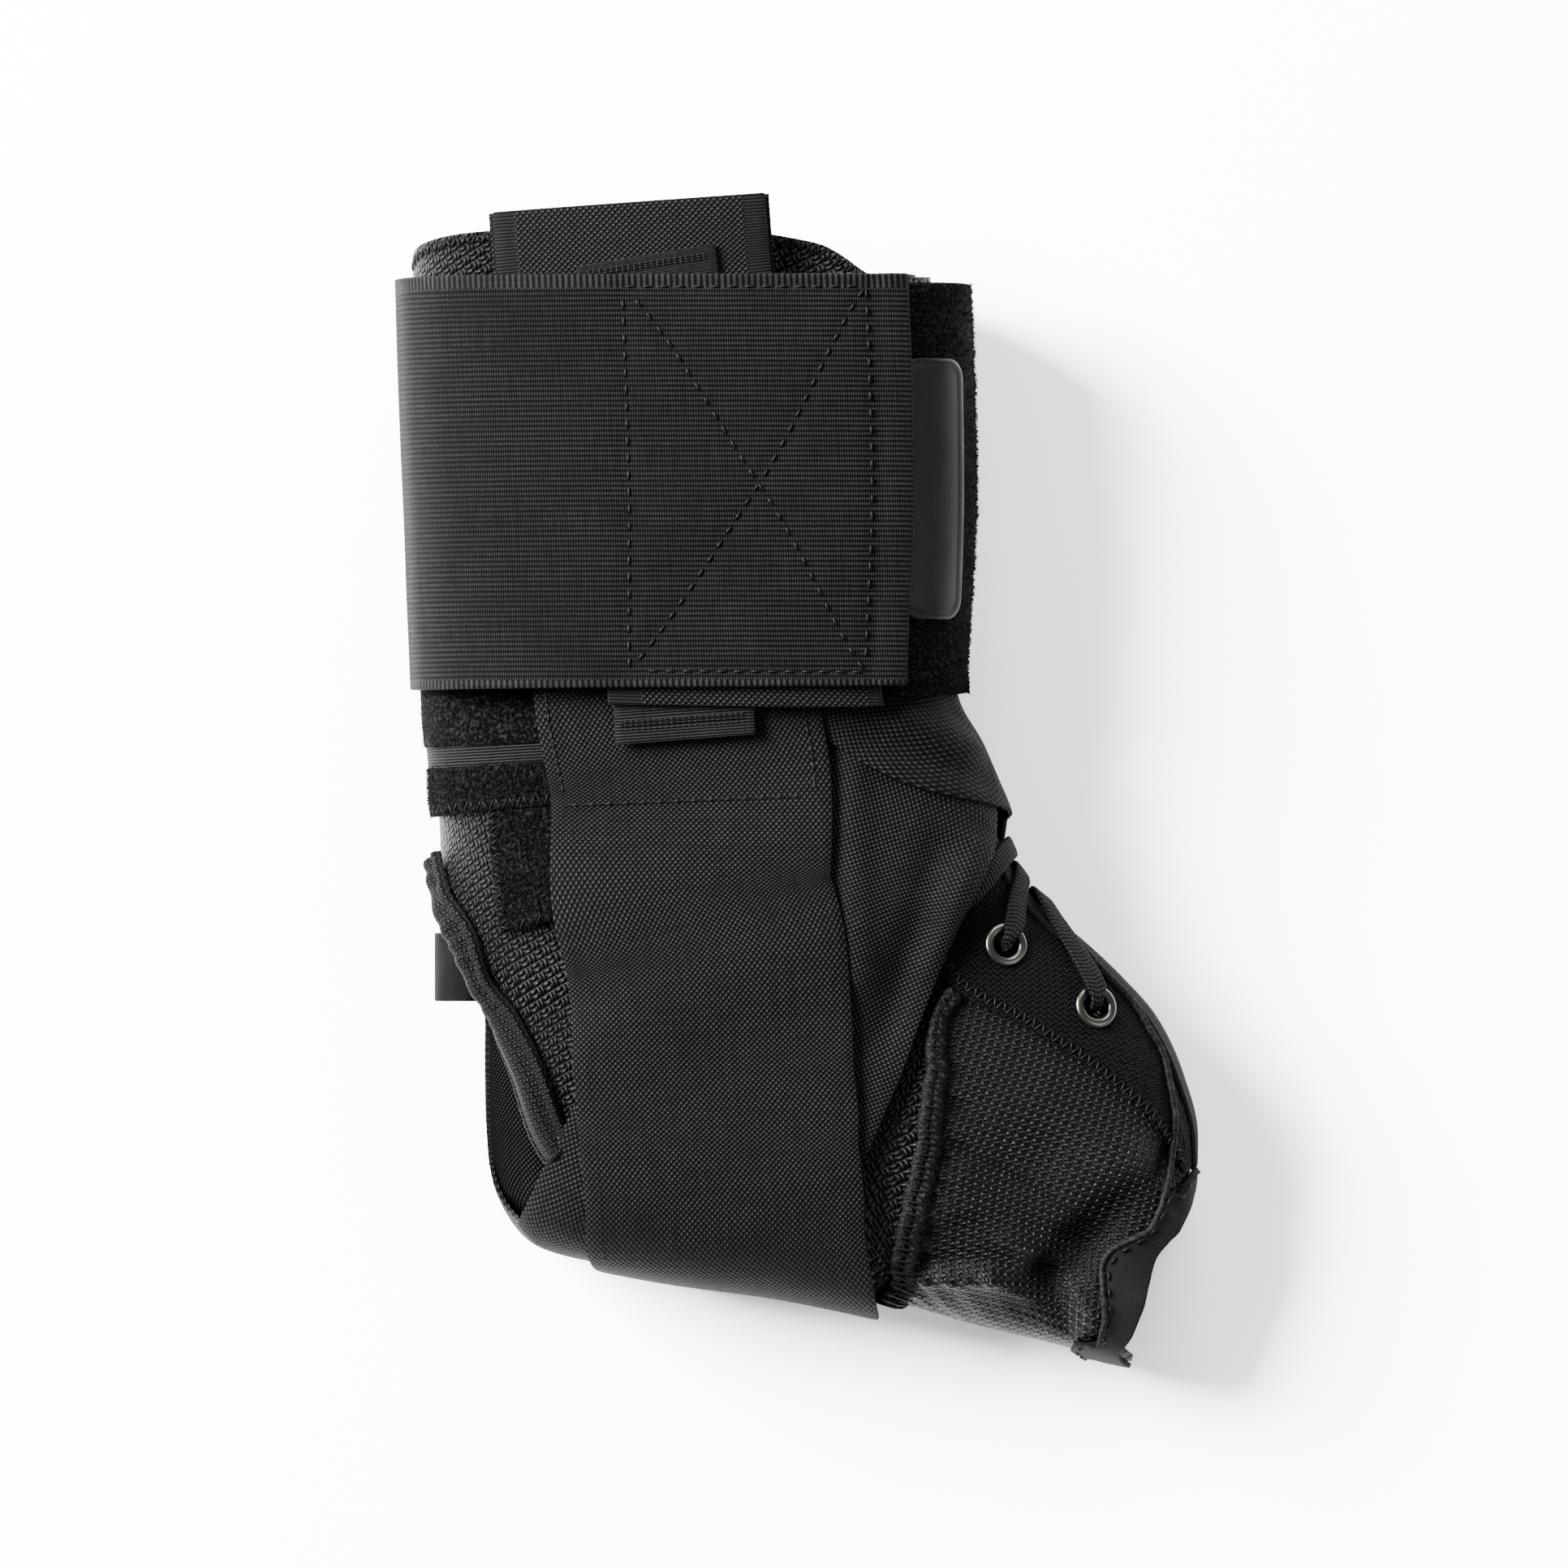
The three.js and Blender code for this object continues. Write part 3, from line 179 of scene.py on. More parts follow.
class Form:
    """The flattened ankle form, worked out for whole arrays of places."""

    @staticmethod
    def point(station: Array, angle: Array) -> Array:
        """Works out points of the bare form.

        Args:
            station: stations along the form.
            angle: angles round it, in degrees.

        Returns:
            The points, in millimetres.
        """
        station, angle = np.broadcast_arrays(np.asarray(station, float), np.asarray(angle, float))
        row = STATIONS.read(station)
        back = row[..., 0:2] * (REACH, HEIGHT)
        front = row[..., 2:4] * (REACH, HEIGHT)
        c, s = np.cos(np.radians(angle)), np.sin(np.radians(angle))
        across = c * (1 + SWELL_ENDS * s * s)
        near = s * (1 + SWELL_NEAR * c * c)
        far = np.maximum(-1, s * (1 + SWELL_FAR * c * c) * FLAT_FAR)
        half = row[..., 4] * THICKNESS / 2
        flat = (back + front) / 2 + (front - back) / 2 * across[..., None]
        z = row[..., 5] * FLOOR_GAP + half + half * np.where(s >= 0, near, far)
        return np.concatenate([flat, z[..., None]], -1)

    @classmethod
    def normal(cls, station: Array, angle: Array) -> Array:
        """Works out the form's outward normals.

        Args:
            station: stations along the form.
            angle: angles round it, in degrees.

        Returns:
            The normals, of length 1.
        """
        station = np.asarray(station, float)
        upper = np.minimum(station + STATION_STEP, LAST_STATION)
        lower = np.maximum(station - STATION_STEP, FIRST_STATION)
        down = cls.point(upper, angle) - cls.point(lower, angle)
        angle = np.asarray(angle, float)
        turn = cls.point(station, angle + ANGLE_STEP) - cls.point(station, angle - ANGLE_STEP)
        return unit(np.cross(turn, down))

    @staticmethod
    def fold_rise(station: Array, angle: Array) -> Array:
        """Works out how far the folds raise the cloth.

        Args:
            station: stations along the form.
            angle: angles round it, in degrees.

        Returns:
            The rise, in millimetres.
        """
        rise = np.zeros(np.broadcast(station, angle).shape)
        for at, turn, length, width, height in FOLDS:
            rise = rise + height * np.exp(-((station - at) / length) ** 2 - ((angle - turn) / width) ** 2)
        return rise

    @classmethod
    def cloth(cls, station: Array, angle: Array, offset: Array) -> Array:
        """Works out points of cloth that lies off the form, folds included.

        Args:
            station: stations along the form.
            angle: angles round it, in degrees.
            offset: distance from the form, in millimetres.

        Returns:
            The points, in millimetres.
        """
        lift = np.asarray(offset + cls.fold_rise(station, angle))
        return cls.point(station, angle) + cls.normal(station, angle) * lift[..., None]

    @classmethod
    def step(cls, station: Array, angle: Array, offset: Array, move: Array) -> tuple[Array, Array]:
        """Turns small moves in space into moves over the form.

        Args:
            station: stations along the form.
            angle: angles round it, in degrees.
            offset: the cloth's distance from the form.
            move: the small vectors, in millimetres.

        Returns:
            The changes of the stations and of the angles.
        """
        here = cls.cloth(station, angle, offset)
        along = (cls.cloth(station + STATION_STEP, angle, offset) - here) / STATION_STEP
        turn = (cls.cloth(station, angle + ANGLE_STEP, offset) - here) / ANGLE_STEP
        aa, ab, bb = (along * along).sum(-1), (along * turn).sum(-1), (turn * turn).sum(-1)
        ma, mb = (along * move).sum(-1), (turn * move).sum(-1)
        det = aa * bb - ab * ab
        return (ma * bb - mb * ab) / det, (mb * aa - ma * ab) / det

    @classmethod
    def under(cls, x: Array, y: Array, offset: float, guess: tuple[float, float]) -> tuple[Array, Array]:
        """Finds the places of the cloth that lie under points of the plan.

        Args:
            x: places along X, in millimetres.
            y: places along Y, in millimetres.
            offset: the layer's offset from the form.
            guess: a station and an angle to start from.

        Returns:
            The stations and the angles.
        """
        x, y = np.broadcast_arrays(np.asarray(x, float), np.asarray(y, float))
        station, angle = np.full(x.shape, float(guess[0])), np.full(x.shape, float(guess[1]))
        for _ in range(40):
            here = cls.cloth(station, angle, offset)
            ds = (cls.cloth(station + STATION_STEP, angle, offset) - here)[..., :2] / STATION_STEP
            da = (cls.cloth(station, angle + ANGLE_STEP, offset) - here)[..., :2] / ANGLE_STEP
            ex, ey = x - here[..., 0], y - here[..., 1]
            det = ds[..., 0] * da[..., 1] - ds[..., 1] * da[..., 0]
            det = np.where(np.abs(det) < 1e-6, 1e-6, det)
            station = station + np.clip((ex * da[..., 1] - ey * da[..., 0]) / det, -0.4, 0.4)
            angle = angle + np.clip((ey * ds[..., 0] - ex * ds[..., 1]) / det, -6, 6)
            station = np.clip(station, FIRST_STATION, LAST_STATION)
        return station, angle


def ripple(seed: int, wavelength: float, points: Array, count: int = 9) -> Array:
    """Works out a soft random relief of height about 1.

    Args:
        seed: fixes the relief.
        wavelength: about how long its waves are, in millimetres.
        points: where it is wanted.
        count: how many waves it adds up.

    Returns:
        The relief at each point.
    """
    rng = np.random.default_rng(seed)
    waves = unit(rng.normal(size=(count, 3))) * (2 * math.pi / wavelength)
    waves = waves * rng.uniform(0.6, 1.5, size=(count, 1))
    phases = rng.uniform(0, 2 * math.pi, size=count)
    return np.sin(points @ waves.T + phases).sum(-1) / math.sqrt(count)


@dataclass(frozen=True)
class Crease:
    """A ridge (or a groove, below 0) of the cloth along a line of the plan, in millimetres."""

    start: tuple[float, float]
    end: tuple[float, float]
    width: float
    rise: float

    def relief(self, points: Array) -> Array:
        """Works out how far the crease lifts each point.

        Args:
            points: points of the cloth.

        Returns:
            The lifts, in millimetres.
        """
        a, b = np.array(self.start), np.array(self.end)
        line = b - a
        share = np.clip(((points[..., :2] - a) @ line) / (line @ line), 0, 1)
        away = np.linalg.norm(points[..., :2] - a - share[..., None] * line, axis=-1)
        return self.rise * bell(away / self.width)


def creased(creases: Sequence[Crease], points: Array) -> Array:
    """Returns the relief of several creases together."""
    return sum(crease.relief(points) for crease in creases)


VAMP_CREASES = (
    Crease((23.6, -93.5), (36, -93.1), 1.5, 1.4), Crease((36, -93.1), (44, -97.5), 1.5, 1.3),
    Crease((47.3, -92), (51, -102), 2.0, -1.6), Crease((24, -89.9), (40, -89.6), 1.5, -0.9),
    Crease((26.5, -58), (35, -56.6), 1.0, 0.45), Crease((25, -66), (34, -64.6), 1.0, 0.45),
    Crease((24, -74), (33, -73.6), 1.1, 0.45), Crease((22.5, -82), (32, -80.6), 1.1, 0.5),
    Crease((25.5, -62), (32, -60.6), 0.9, -0.4), Crease((24.5, -70), (32, -69.2), 0.9, -0.4),
    Crease((23.5, -78), (32, -77), 0.9, -0.4), Crease((40, -86), (56, -94), 1.6, 0.7),
    Crease((44, -83), (60, -90), 1.6, -0.5), Crease((52, -95), (56, -101), 1.2, 0.6),
)
DIAGONAL_CREASES = (
    Crease((9.6, 5.5), (11.5, -36), 3.4, 1.3), Crease((25.8, -12.5), (16.8, -46), 3.4, -1.3),
    Crease((32.5, -13), (24, -34), 2.4, 0.9), Crease((14, 6), (31, -5), 3.0, 0.8),
    Crease((19, 0), (33, -9), 2.2, -0.6),
)
END_CREASES = (
    Crease((18, 12), (29, 5), 2.6, 1.2), Crease((12, 9), (35, -2), 2.0, -0.8),
    Crease((31, 12), (38.5, -2), 2.2, 1.0), Crease((25, 13), (36, 2), 1.8, -0.6),
)
NEAR_FACE = (14.0, 170.0)


def on_near_face(angle: Array) -> Array:
    """Returns 1 on the face that the picture shows and 0 on the others."""
    turned = np.mod(angle, 360)
    return ((turned > NEAR_FACE[0]) & (turned < NEAR_FACE[1])).astype(float)


class Bench:
    """Turns point grids into Blender objects and finishes them."""

    @staticmethod
    def select(*objects: bpy.types.Object) -> None:
        """Selects only the given objects and makes the first one active."""
        bpy.ops.object.select_all(action="DESELECT")
        for obj in objects:
            obj.select_set(True)
        bpy.context.view_layer.objects.active = objects[0]

    @staticmethod
    def mesh(name: str, points: Array, faces: Sequence, cloth_uv: Optional[Array] = None) -> bpy.types.Object:
        """Makes a mesh object.

        Args:
            name: the piece's name.
            points: its points, in millimetres.
            faces: lists of point numbers.
            cloth_uv: each point's place on the flat cloth, in millimetres.

        Returns:
            The object, at the origin.
        """
        data = bpy.data.meshes.new(name)
        data.from_pydata((np.asarray(points) * MM).tolist(), [], [list(map(int, f)) for f in faces])
        data.update()
        if cloth_uv is not None:
            layer = data.uv_layers.new(name="cloth")
            corner = np.zeros(len(data.loops), dtype=np.int64)
            data.loops.foreach_get("vertex_index", corner)
            layer.data.foreach_set("uv", np.ascontiguousarray(cloth_uv[corner]).ravel())
        obj = bpy.data.objects.new(name, data)
        bpy.context.scene.collection.objects.link(obj)
        return obj

    @classmethod
    def wall(cls, name: str, outer: Array, inner: Array, quads: Array, cloth_uv: Array) -> bpy.types.Object:
        """Makes a closed cloth wall from matching outer and inner points.

        Args:
            name: the piece's name.
            outer: outer points, in millimetres.
            inner: inner points.
            quads: the faces that both share.
            cloth_uv: each point's place on the flat cloth.

        Returns:
            The object.
        """
        count = len(outer)
        sides = np.concatenate([quads[:, [k, (k + 1) % 4]] for k in range(4)])
        low, high = sides.min(1), sides.max(1)
        _, first, number = np.unique(low * count + high, return_index=True, return_counts=True)
        rim = sides[first[number == 1]]
        rim = rim[rim[:, 0] != rim[:, 1]]
        skirt = np.stack([rim[:, 1], rim[:, 0], rim[:, 0] + count, rim[:, 1] + count], 1)
        faces = np.concatenate([quads, quads[:, ::-1] + count, skirt])
        depth = np.linalg.norm(outer - inner, axis=-1)[:, None]
        flat = np.concatenate([cloth_uv, cloth_uv + depth])
        obj = cls.mesh(name, np.concatenate([outer, inner]), faces, flat)
        return cls.outward(obj)

    @classmethod
    def outward(cls, obj: bpy.types.Object) -> bpy.types.Object:
        """Removes loose points from a piece and turns its faces outwards.

        Args:
            obj: the piece.

        Returns:
            The piece.
        """
        cls.select(obj)
        bpy.ops.object.mode_set(mode="EDIT")
        bpy.ops.mesh.select_all(action="SELECT")
        bpy.ops.mesh.delete_loose()
        bpy.ops.mesh.select_all(action="SELECT")
        bpy.ops.mesh.normals_make_consistent(inside=False)
        bpy.ops.object.mode_set(mode="OBJECT")
        return obj

    @classmethod
    def rounded(cls, obj: bpy.types.Object, width: float, segments: int = 2) -> bpy.types.Object:
        """Rounds the sharp rims of a piece and shades it smooth.

        Args:
            obj: the piece.
            width: width of the rounding, in millimetres.
            segments: faces across it.

        Returns:
            The piece.
        """
        cls.select(obj)
        bevel = obj.modifiers.new("rim", "BEVEL")
        bevel.width = width * MM
        bevel.segments = segments
        bevel.limit_method = "ANGLE"
        bevel.angle_limit = math.radians(58)
        bpy.ops.object.modifier_apply(modifier=bevel.name)
        bpy.ops.object.shade_smooth_by_angle(angle=math.radians(75))
        return obj


def grid_quads(rows: int, columns: int, numbers: Optional[Array] = None) -> Array:
    """Lists the quads of a grid of points.

    Args:
        rows: rows of points.
        columns: columns of points.
        numbers: the points' numbers, or None by rows.

    Returns:
        Four numbers for each quad.
    """
    if numbers is None:
        numbers = np.arange(rows * columns).reshape(rows, columns)
    corners = (numbers[:-1, :-1], numbers[1:, :-1], numbers[1:, 1:], numbers[:-1, 1:])
    return np.stack([c.ravel() for c in corners], 1)


def punched(quads: Array, points: Array, holes: Sequence[tuple[Array, float]]) -> Array:
    """Leaves out the quads of a cloth that lie in punched holes.

    Args:
        quads: the faces.
        points: the cloth's points.
        holes: centre and radius of each hole, in millimetres.

    Returns:
        The faces that stay.
    """
    for centre, radius in holes:
        quads = quads[np.linalg.norm(points[quads].mean(1) - centre, axis=-1) > radius]
    return quads


def flat_map(points: Array) -> Array:
    """Works out the place of each point of a grid on flat cloth.

    Args:
        points: the grid, in millimetres.

    Returns:
        Run along the rows and down the columns, from the middle.
    """
    middle_column, middle_row = points.shape[1] // 2, points.shape[0] // 2
    across = np.linalg.norm(np.diff(points, axis=1), axis=-1).cumsum(1)
    across = np.concatenate([np.zeros((len(points), 1)), across], 1)
    down = np.linalg.norm(np.diff(points, axis=0), axis=-1).cumsum(0)
    down = np.concatenate([np.zeros((1, points.shape[1])), down])
    return np.stack([across - across[:, [middle_column]], down - down[[middle_row]]], -1)


def plan_map(points: Array, angle: Array, lean: float) -> Array:
    """Returns the place of each point on flattened cloth.

    Args:
        points: the cloth's points.
        angle: their angles round the form.
        lean: how far the cloth's grain is turned, in degrees.

    Returns:
        Places on the flat cloth, in millimetres, which run on round the form's two ends.
    """
    c, s = math.cos(math.radians(lean)), math.sin(math.radians(lean))
    below = points[..., 2].max(axis=-1, keepdims=True) - points[..., 2]
    x, y = points[..., 0] + np.where(np.cos(np.radians(angle)) < 0, -below, below), points[..., 1]
    return np.stack([x * c + y * s, y * c - x * s], -1)


@dataclass
class Patch:
    """A patch of cloth over the form, with its own grid of stations and angles.

    Attributes:
        name: the piece's name.
        station: station of each grid point.
        angle: angle of each grid point.
        outer: offset of the outer face.
        inner: offset of the inner face.
        rim: radius of its rounded rim, in millimetres.
        holes: centre and radius of each punched hole.
        numbers: the grid points' numbers, or None by rows.
        flat: place of each point on the flat cloth, or None to work it out.
        shift: move of each point in space, or None.
    """

    name: str
    station: Array
    angle: Array
    outer: Array
    inner: Array
    rim: float = 0.3
    holes: Sequence[tuple[Array, float]] = ()
    numbers: Optional[Array] = None
    flat: Optional[Array] = None
    shift: Optional[Array] = None

    def build(self) -> bpy.types.Object:
        """Returns the finished object."""
        shape = np.broadcast(self.station, self.angle).shape
        outer = Form.cloth(self.station, self.angle, np.broadcast_to(self.outer, shape))
        inner = Form.cloth(self.station, self.angle, np.broadcast_to(self.inner, shape))
        if self.shift is not None:
            outer, inner = outer + self.shift, inner + self.shift
        flat = flat_map(outer) if self.flat is None else self.flat
        quads = grid_quads(*shape, numbers=self.numbers)
        quads = quads[(quads[:, 0] != quads[:, 3]) & (quads[:, 1] != quads[:, 2])]
        points = outer.reshape(-1, 3)
        quads = punched(quads, points, self.holes)
        obj = Bench.wall(self.name, points, inner.reshape(-1, 3), quads, flat.reshape(-1, 2))
        return Bench.rounded(obj, self.rim)


def mesh_grid(rows: int, columns: int) -> tuple[Array, Array]:
    """Lists even shares 0 to 1 over a grid.

    Args:
        rows: cells along.
        columns: cells across.

    Returns:
        Two tables, across and along.
    """
    s = np.linspace(0, 1, columns + 1)
    t = np.linspace(0, 1, rows + 1)
    return np.meshgrid(s, t)


def smoothed(rows: Array, spread: float) -> Array:
    """Returns rows of values eased along a run, with the ends kept.

    Args:
        rows: the values.
        spread: how many rows the easing reaches.

    Returns:
        The eased rows.
    """
    reach = int(math.ceil(spread * 2.5))
    weights = bell(np.arange(-reach, reach + 1) / (spread * math.sqrt(2)))
    weights = weights / weights.sum()
    lead = 2 * rows[0] - rows[reach:0:-1]
    tail = 2 * rows[-1] - rows[-2:-reach - 2:-1]
    padded = np.concatenate([lead, rows, tail])
    return np.stack([np.convolve(column, weights, "valid") for column in padded.T], 1)


@dataclass
class Strip:
    """A strip of constant width along a route of stations and angles."""

    route: Sequence[tuple[float, ...]]
    width: float
    offset: Callable[[Array, Array, Array], tuple[Array, Array]]
    pitch: float = 1.6
    columns: int = 28
    ease: float = 3.0

    def lay(self) -> dict[str, Array]:
        """Lays the strip and returns its grid: station, angle, outer, inner and flat."""
        rows = np.array(self.route, float)
        points = Form.point(rows[:, 0], rows[:, 1])
        runs = run_along(points)
        length = runs[-1]
        guide = Table(tuple(tuple(r) for r in np.column_stack([runs, rows])))
        run = np.linspace(0, length, max(int(length / self.pitch), 4))
        at = smoothed(guide.read(run), self.ease / self.pitch)
        inner, _ = self.offset(run / length, at[:, 0], at[:, 1])
        forward = unit(smoothed(np.gradient(Form.cloth(at[:, 0], at[:, 1], inner), axis=0), 2.5))
        half = self.columns // 2
        gap = self.width / self.columns
        places = {0: (at[:, 0], at[:, 1])}
        for sign in (-1, 1):
            station, angle = at[:, 0], at[:, 1]
            for k in range(1, half + 1):
                side = unit(np.cross(Form.normal(station, angle), forward)) * (sign * gap)
                ds, da = Form.step(station, angle, inner, side)
                station, angle = station + ds, angle + da
                places[sign * k] = (station, angle)
        order = range(-half, half + 1)
        station = np.stack([places[k][0] for k in order], 1)
        angle = np.stack([places[k][1] for k in order], 1)
        low, high = self.offset(np.broadcast_to((run / length)[:, None], station.shape), station, angle)
        across = np.broadcast_to(np.array(list(order)) * gap, station.shape)
        along = np.broadcast_to(run[:, None], station.shape)
        return {"station": station, "angle": angle, "outer": high, "inner": low,
                "flat": np.stack([across, along], -1)}


class Threads:
    """Sewing thread, fibres and other thin tubes, gathered into one mesh."""

    def __init__(self, sides: int = 5) -> None:
        """Starts an empty bundle of tubes.

        Args:
            sides: sides of each tube.
        """
        self.sides = sides
        self.points: list[Array] = []
        self.faces: list[Array] = []
        self.count = 0

    def add(self, paths: Array, radii: Array) -> None:
        """Adds tubes.

        Args:
            paths: points of the tubes' centre lines, tubes by rings by 3, in millimetres.
            radii: radius at each ring, tubes by rings.
        """
        tubes, rings = paths.shape[:2]
        tangent = unit(np.gradient(paths, axis=1))
        helper = np.where(np.abs(tangent[..., 2:3]) < 0.9, (0.0, 0.0, 1.0), (1.0, 0.0, 0.0))
        side = unit(np.cross(tangent, helper))
        up = np.cross(tangent, side)
        turn = np.arange(self.sides) * 2 * math.pi / self.sides
        ring = (side[:, :, None] * np.cos(turn)[:, None] + up[:, :, None] * np.sin(turn)[:, None])
        points = paths[:, :, None] + ring * radii[:, :, None, None]
        number = np.arange(tubes * rings * self.sides).reshape(tubes, rings, self.sides) + self.count
        nxt = np.roll(number, -1, axis=2)
        walls = np.stack([number[:, :-1], nxt[:, :-1], nxt[:, 1:], number[:, 1:]], -1).reshape(-1, 4)
        self.points.append(points.reshape(-1, 3))
        self.faces.extend(walls.tolist())
        self.faces.extend(number[:, 0, ::-1].tolist())
        self.faces.extend(number[:, -1].tolist())
        self.count += tubes * rings * self.sides

    def build(self, name: str) -> bpy.types.Object:
        """Makes the bundle one object.

        Args:
            name: the object's name.

        Returns:
            The object.
        """
        obj = Bench.mesh(name, np.concatenate(self.points), self.faces)
        Bench.select(obj)
        bpy.ops.object.shade_smooth()
        return obj


class Surface:
    """The outer face of a cloth piece, as a grid that other things are sewn to."""

    def __init__(self, points: Array) -> None:
        """Takes the grid and works out its normals.

        Args:
            points: the outer points, in millimetres.
        """
        self.points = points
        down, across = np.gradient(points, axis=0), np.gradient(points, axis=1)
        self.normals = unit(np.cross(across, down))

    def read(self, grid: Array, s: Array, t: Array) -> Array:
        """Reads a grid's values between its points.

        Args:
            grid: values at the points.
            s: shares across.
            t: shares along.

        Returns:
            The values there.
        """
        rows, columns = grid.shape[:2]
        x, y = np.clip(s, 0, 1) * (columns - 1), np.clip(t, 0, 1) * (rows - 1)
        j = np.minimum(x.astype(int), columns - 2)
        i = np.minimum(y.astype(int), rows - 2)
        fx, fy = (x - j)[..., None], (y - i)[..., None]
        upper = grid[i, j] * (1 - fx) + grid[i, j + 1] * fx
        lower = grid[i + 1, j] * (1 - fx) + grid[i + 1, j + 1] * fx
        return upper * (1 - fy) + lower * fy

    def at(self, s: Array, t: Array, lift: Array = 0.0) -> Array:
        """Works out points on or over the cloth.

        Args:
            s: shares across.
            t: shares along.
            lift: height over the cloth, in millimetres.

        Returns:
            The points, in millimetres.
        """
        s, t = np.broadcast_arrays(np.asarray(s, float), np.asarray(t, float))
        lift = np.broadcast_to(np.asarray(lift, float), s.shape)
        return self.read(self.points, s, t) + unit(self.read(self.normals, s, t)) * lift[..., None]

    def size(self) -> tuple[float, float]:
        """Returns the mean length of the grid's rows and the length that gives its true area."""
        across = np.linalg.norm(np.diff(self.points, axis=1), axis=-1).sum(1).mean()
        p = self.points
        diagonals = np.cross(p[1:, 1:] - p[:-1, :-1], p[1:, :-1] - p[:-1, 1:])
        area = np.linalg.norm(diagonals, axis=-1).sum() / 2
        return across, area / across


DASH_LIFT = np.array([-0.3, 0.08, 0.16, 0.08, -0.3])
DASH_BULK = np.array([0.35, 1.0, 1.0, 1.0, 0.35])


class Needle:
    """Sews threads into surfaces and roots fibres in them."""

    def __init__(self, seed: int, sides: int = 5) -> None:
        """Starts with no thread laid.

        Args:
            seed: fixes the small irregularities.
            sides: sides of each thread.
        """
        self.threads = Threads(sides)
        self.rng = np.random.default_rng(seed)

    def path(self, surface: Surface, corners: Sequence[tuple[float, float]]) -> tuple[Array, Array, Array]:
        """Follows a line over a cloth closely.

        Args:
            surface: the cloth.
            corners: the line's corners as shares across and along.

        Returns:
            Shares across, shares along and the run in millimetres.
        """
        corners = np.array(corners, float)
        knots = np.linspace(0, 1, len(corners))
        dense = np.linspace(0, 1, 120 * (len(corners) - 1) + 1)
        s, t = np.interp(dense, knots, corners[:, 0]), np.interp(dense, knots, corners[:, 1])
        points = surface.at(s, t)
        run = run_along(points)
        return s, t, run

    def dashes(self, surface: Surface, corners: Sequence[tuple[float, float]], pitch: float = 3.4,
               share: float = 0.74, radius: float = 0.27) -> None:
        """Sews a running stitch.

        Args:
            surface: the cloth that is sewn.
            corners: the seam's corners as shares across and along.
            pitch: length of one stitch with its gap, in millimetres.
            share: part of the pitch that shows.
            radius: the thread's radius.
        """
        s, t, run = self.path(surface, corners)
        starts = np.arange(0.3, run[-1] - pitch, pitch)
        if len(starts) == 0:
            return
        at = starts[:, None] + np.linspace(0, pitch * share, len(DASH_LIFT))[None]
        paths = surface.at(np.interp(at, run, s), np.interp(at, run, t), DASH_LIFT * radius * 4)
        self.threads.add(paths, np.broadcast_to(DASH_BULK * radius, at.shape))

    def zigzag(self, surface: Surface, corners: Sequence[tuple[float, float]], width: float,
               pitch: float, radius: float = 0.22) -> None:
        """Sews a zigzag.

        Args:
            surface: the cloth that is sewn.
            corners: the seam's corners as shares across and along.
            width: how wide it swings, in millimetres.
            pitch: length of one swing there and back.
            radius: the thread's radius.
        """
        s, t, run = self.path(surface, corners)
        count = max(int(run[-1] / pitch * 2), 2)
        at = np.linspace(0, run[-1], count + 1)
        ss, tt = np.interp(at, run, s), np.interp(at, run, t)
        here = surface.at(ss, tt)
        ahead, back = (surface.at(np.interp(at + k, run, s), np.interp(at + k, run, t))
                       for k in (0.4, -0.4))
        normal = unit(surface.read(surface.normals, ss, tt))
        side = unit(np.cross(normal, unit(ahead - back)))
        sway = np.where(np.arange(count + 1) % 2 == 0, 1, -1)[:, None] * width / 2
        knots = here + side * sway
        share = np.linspace(0, 1, 5)[None, :, None]
        paths = knots[:-1, None] * (1 - share) + knots[1:, None] * share
        rise = (DASH_LIFT * radius * 3)[None, :, None] * normal[:-1, None]
        self.threads.add(paths + rise, np.broadcast_to(DASH_BULK * radius, paths.shape[:2]))

    def fuzz(self, surface: Surface, count: int, length: float, radius: float, lean: float = 0.8) -> None:
        """Roots curling fibres in a surface.

        Args:
            surface: the cloth they grow from.
            count: how many fibres.
            length: their mean length, in millimetres.
            radius: radius at the root.
            lean: how far they lean over, against standing straight.
        """
        s = self.rng.uniform(0.0, 1.0, count)
        t = self.rng.uniform(0.0, 1.0, count)
        root = surface.at(s, t, -0.15)
        normal = unit(surface.read(surface.normals, s, t))
        wild = self.rng.normal(size=(count, 3))
        flat = unit(wild - normal * (wild * normal).sum(-1, keepdims=True))
        long = length * self.rng.uniform(0.5, 1.3, size=(count, 1))
        share = np.array([0, 0.5, 1.0])
        climb = np.sin(share * 2.1)[None, :, None] * normal[:, None] * long[:, None] * 0.55
        reach = (share ** 1.3)[None, :, None] * flat[:, None] * long[:, None] * lean
        bulk = np.broadcast_to(radius * np.array([1.1, 0.95, 0.4]), (count, 3))
        self.threads.add(root[:, None] + climb + reach, bulk)

    def cut(self, name: str) -> bpy.types.Object:
        """Returns the laid threads as one object."""
        return self.threads.build(name)


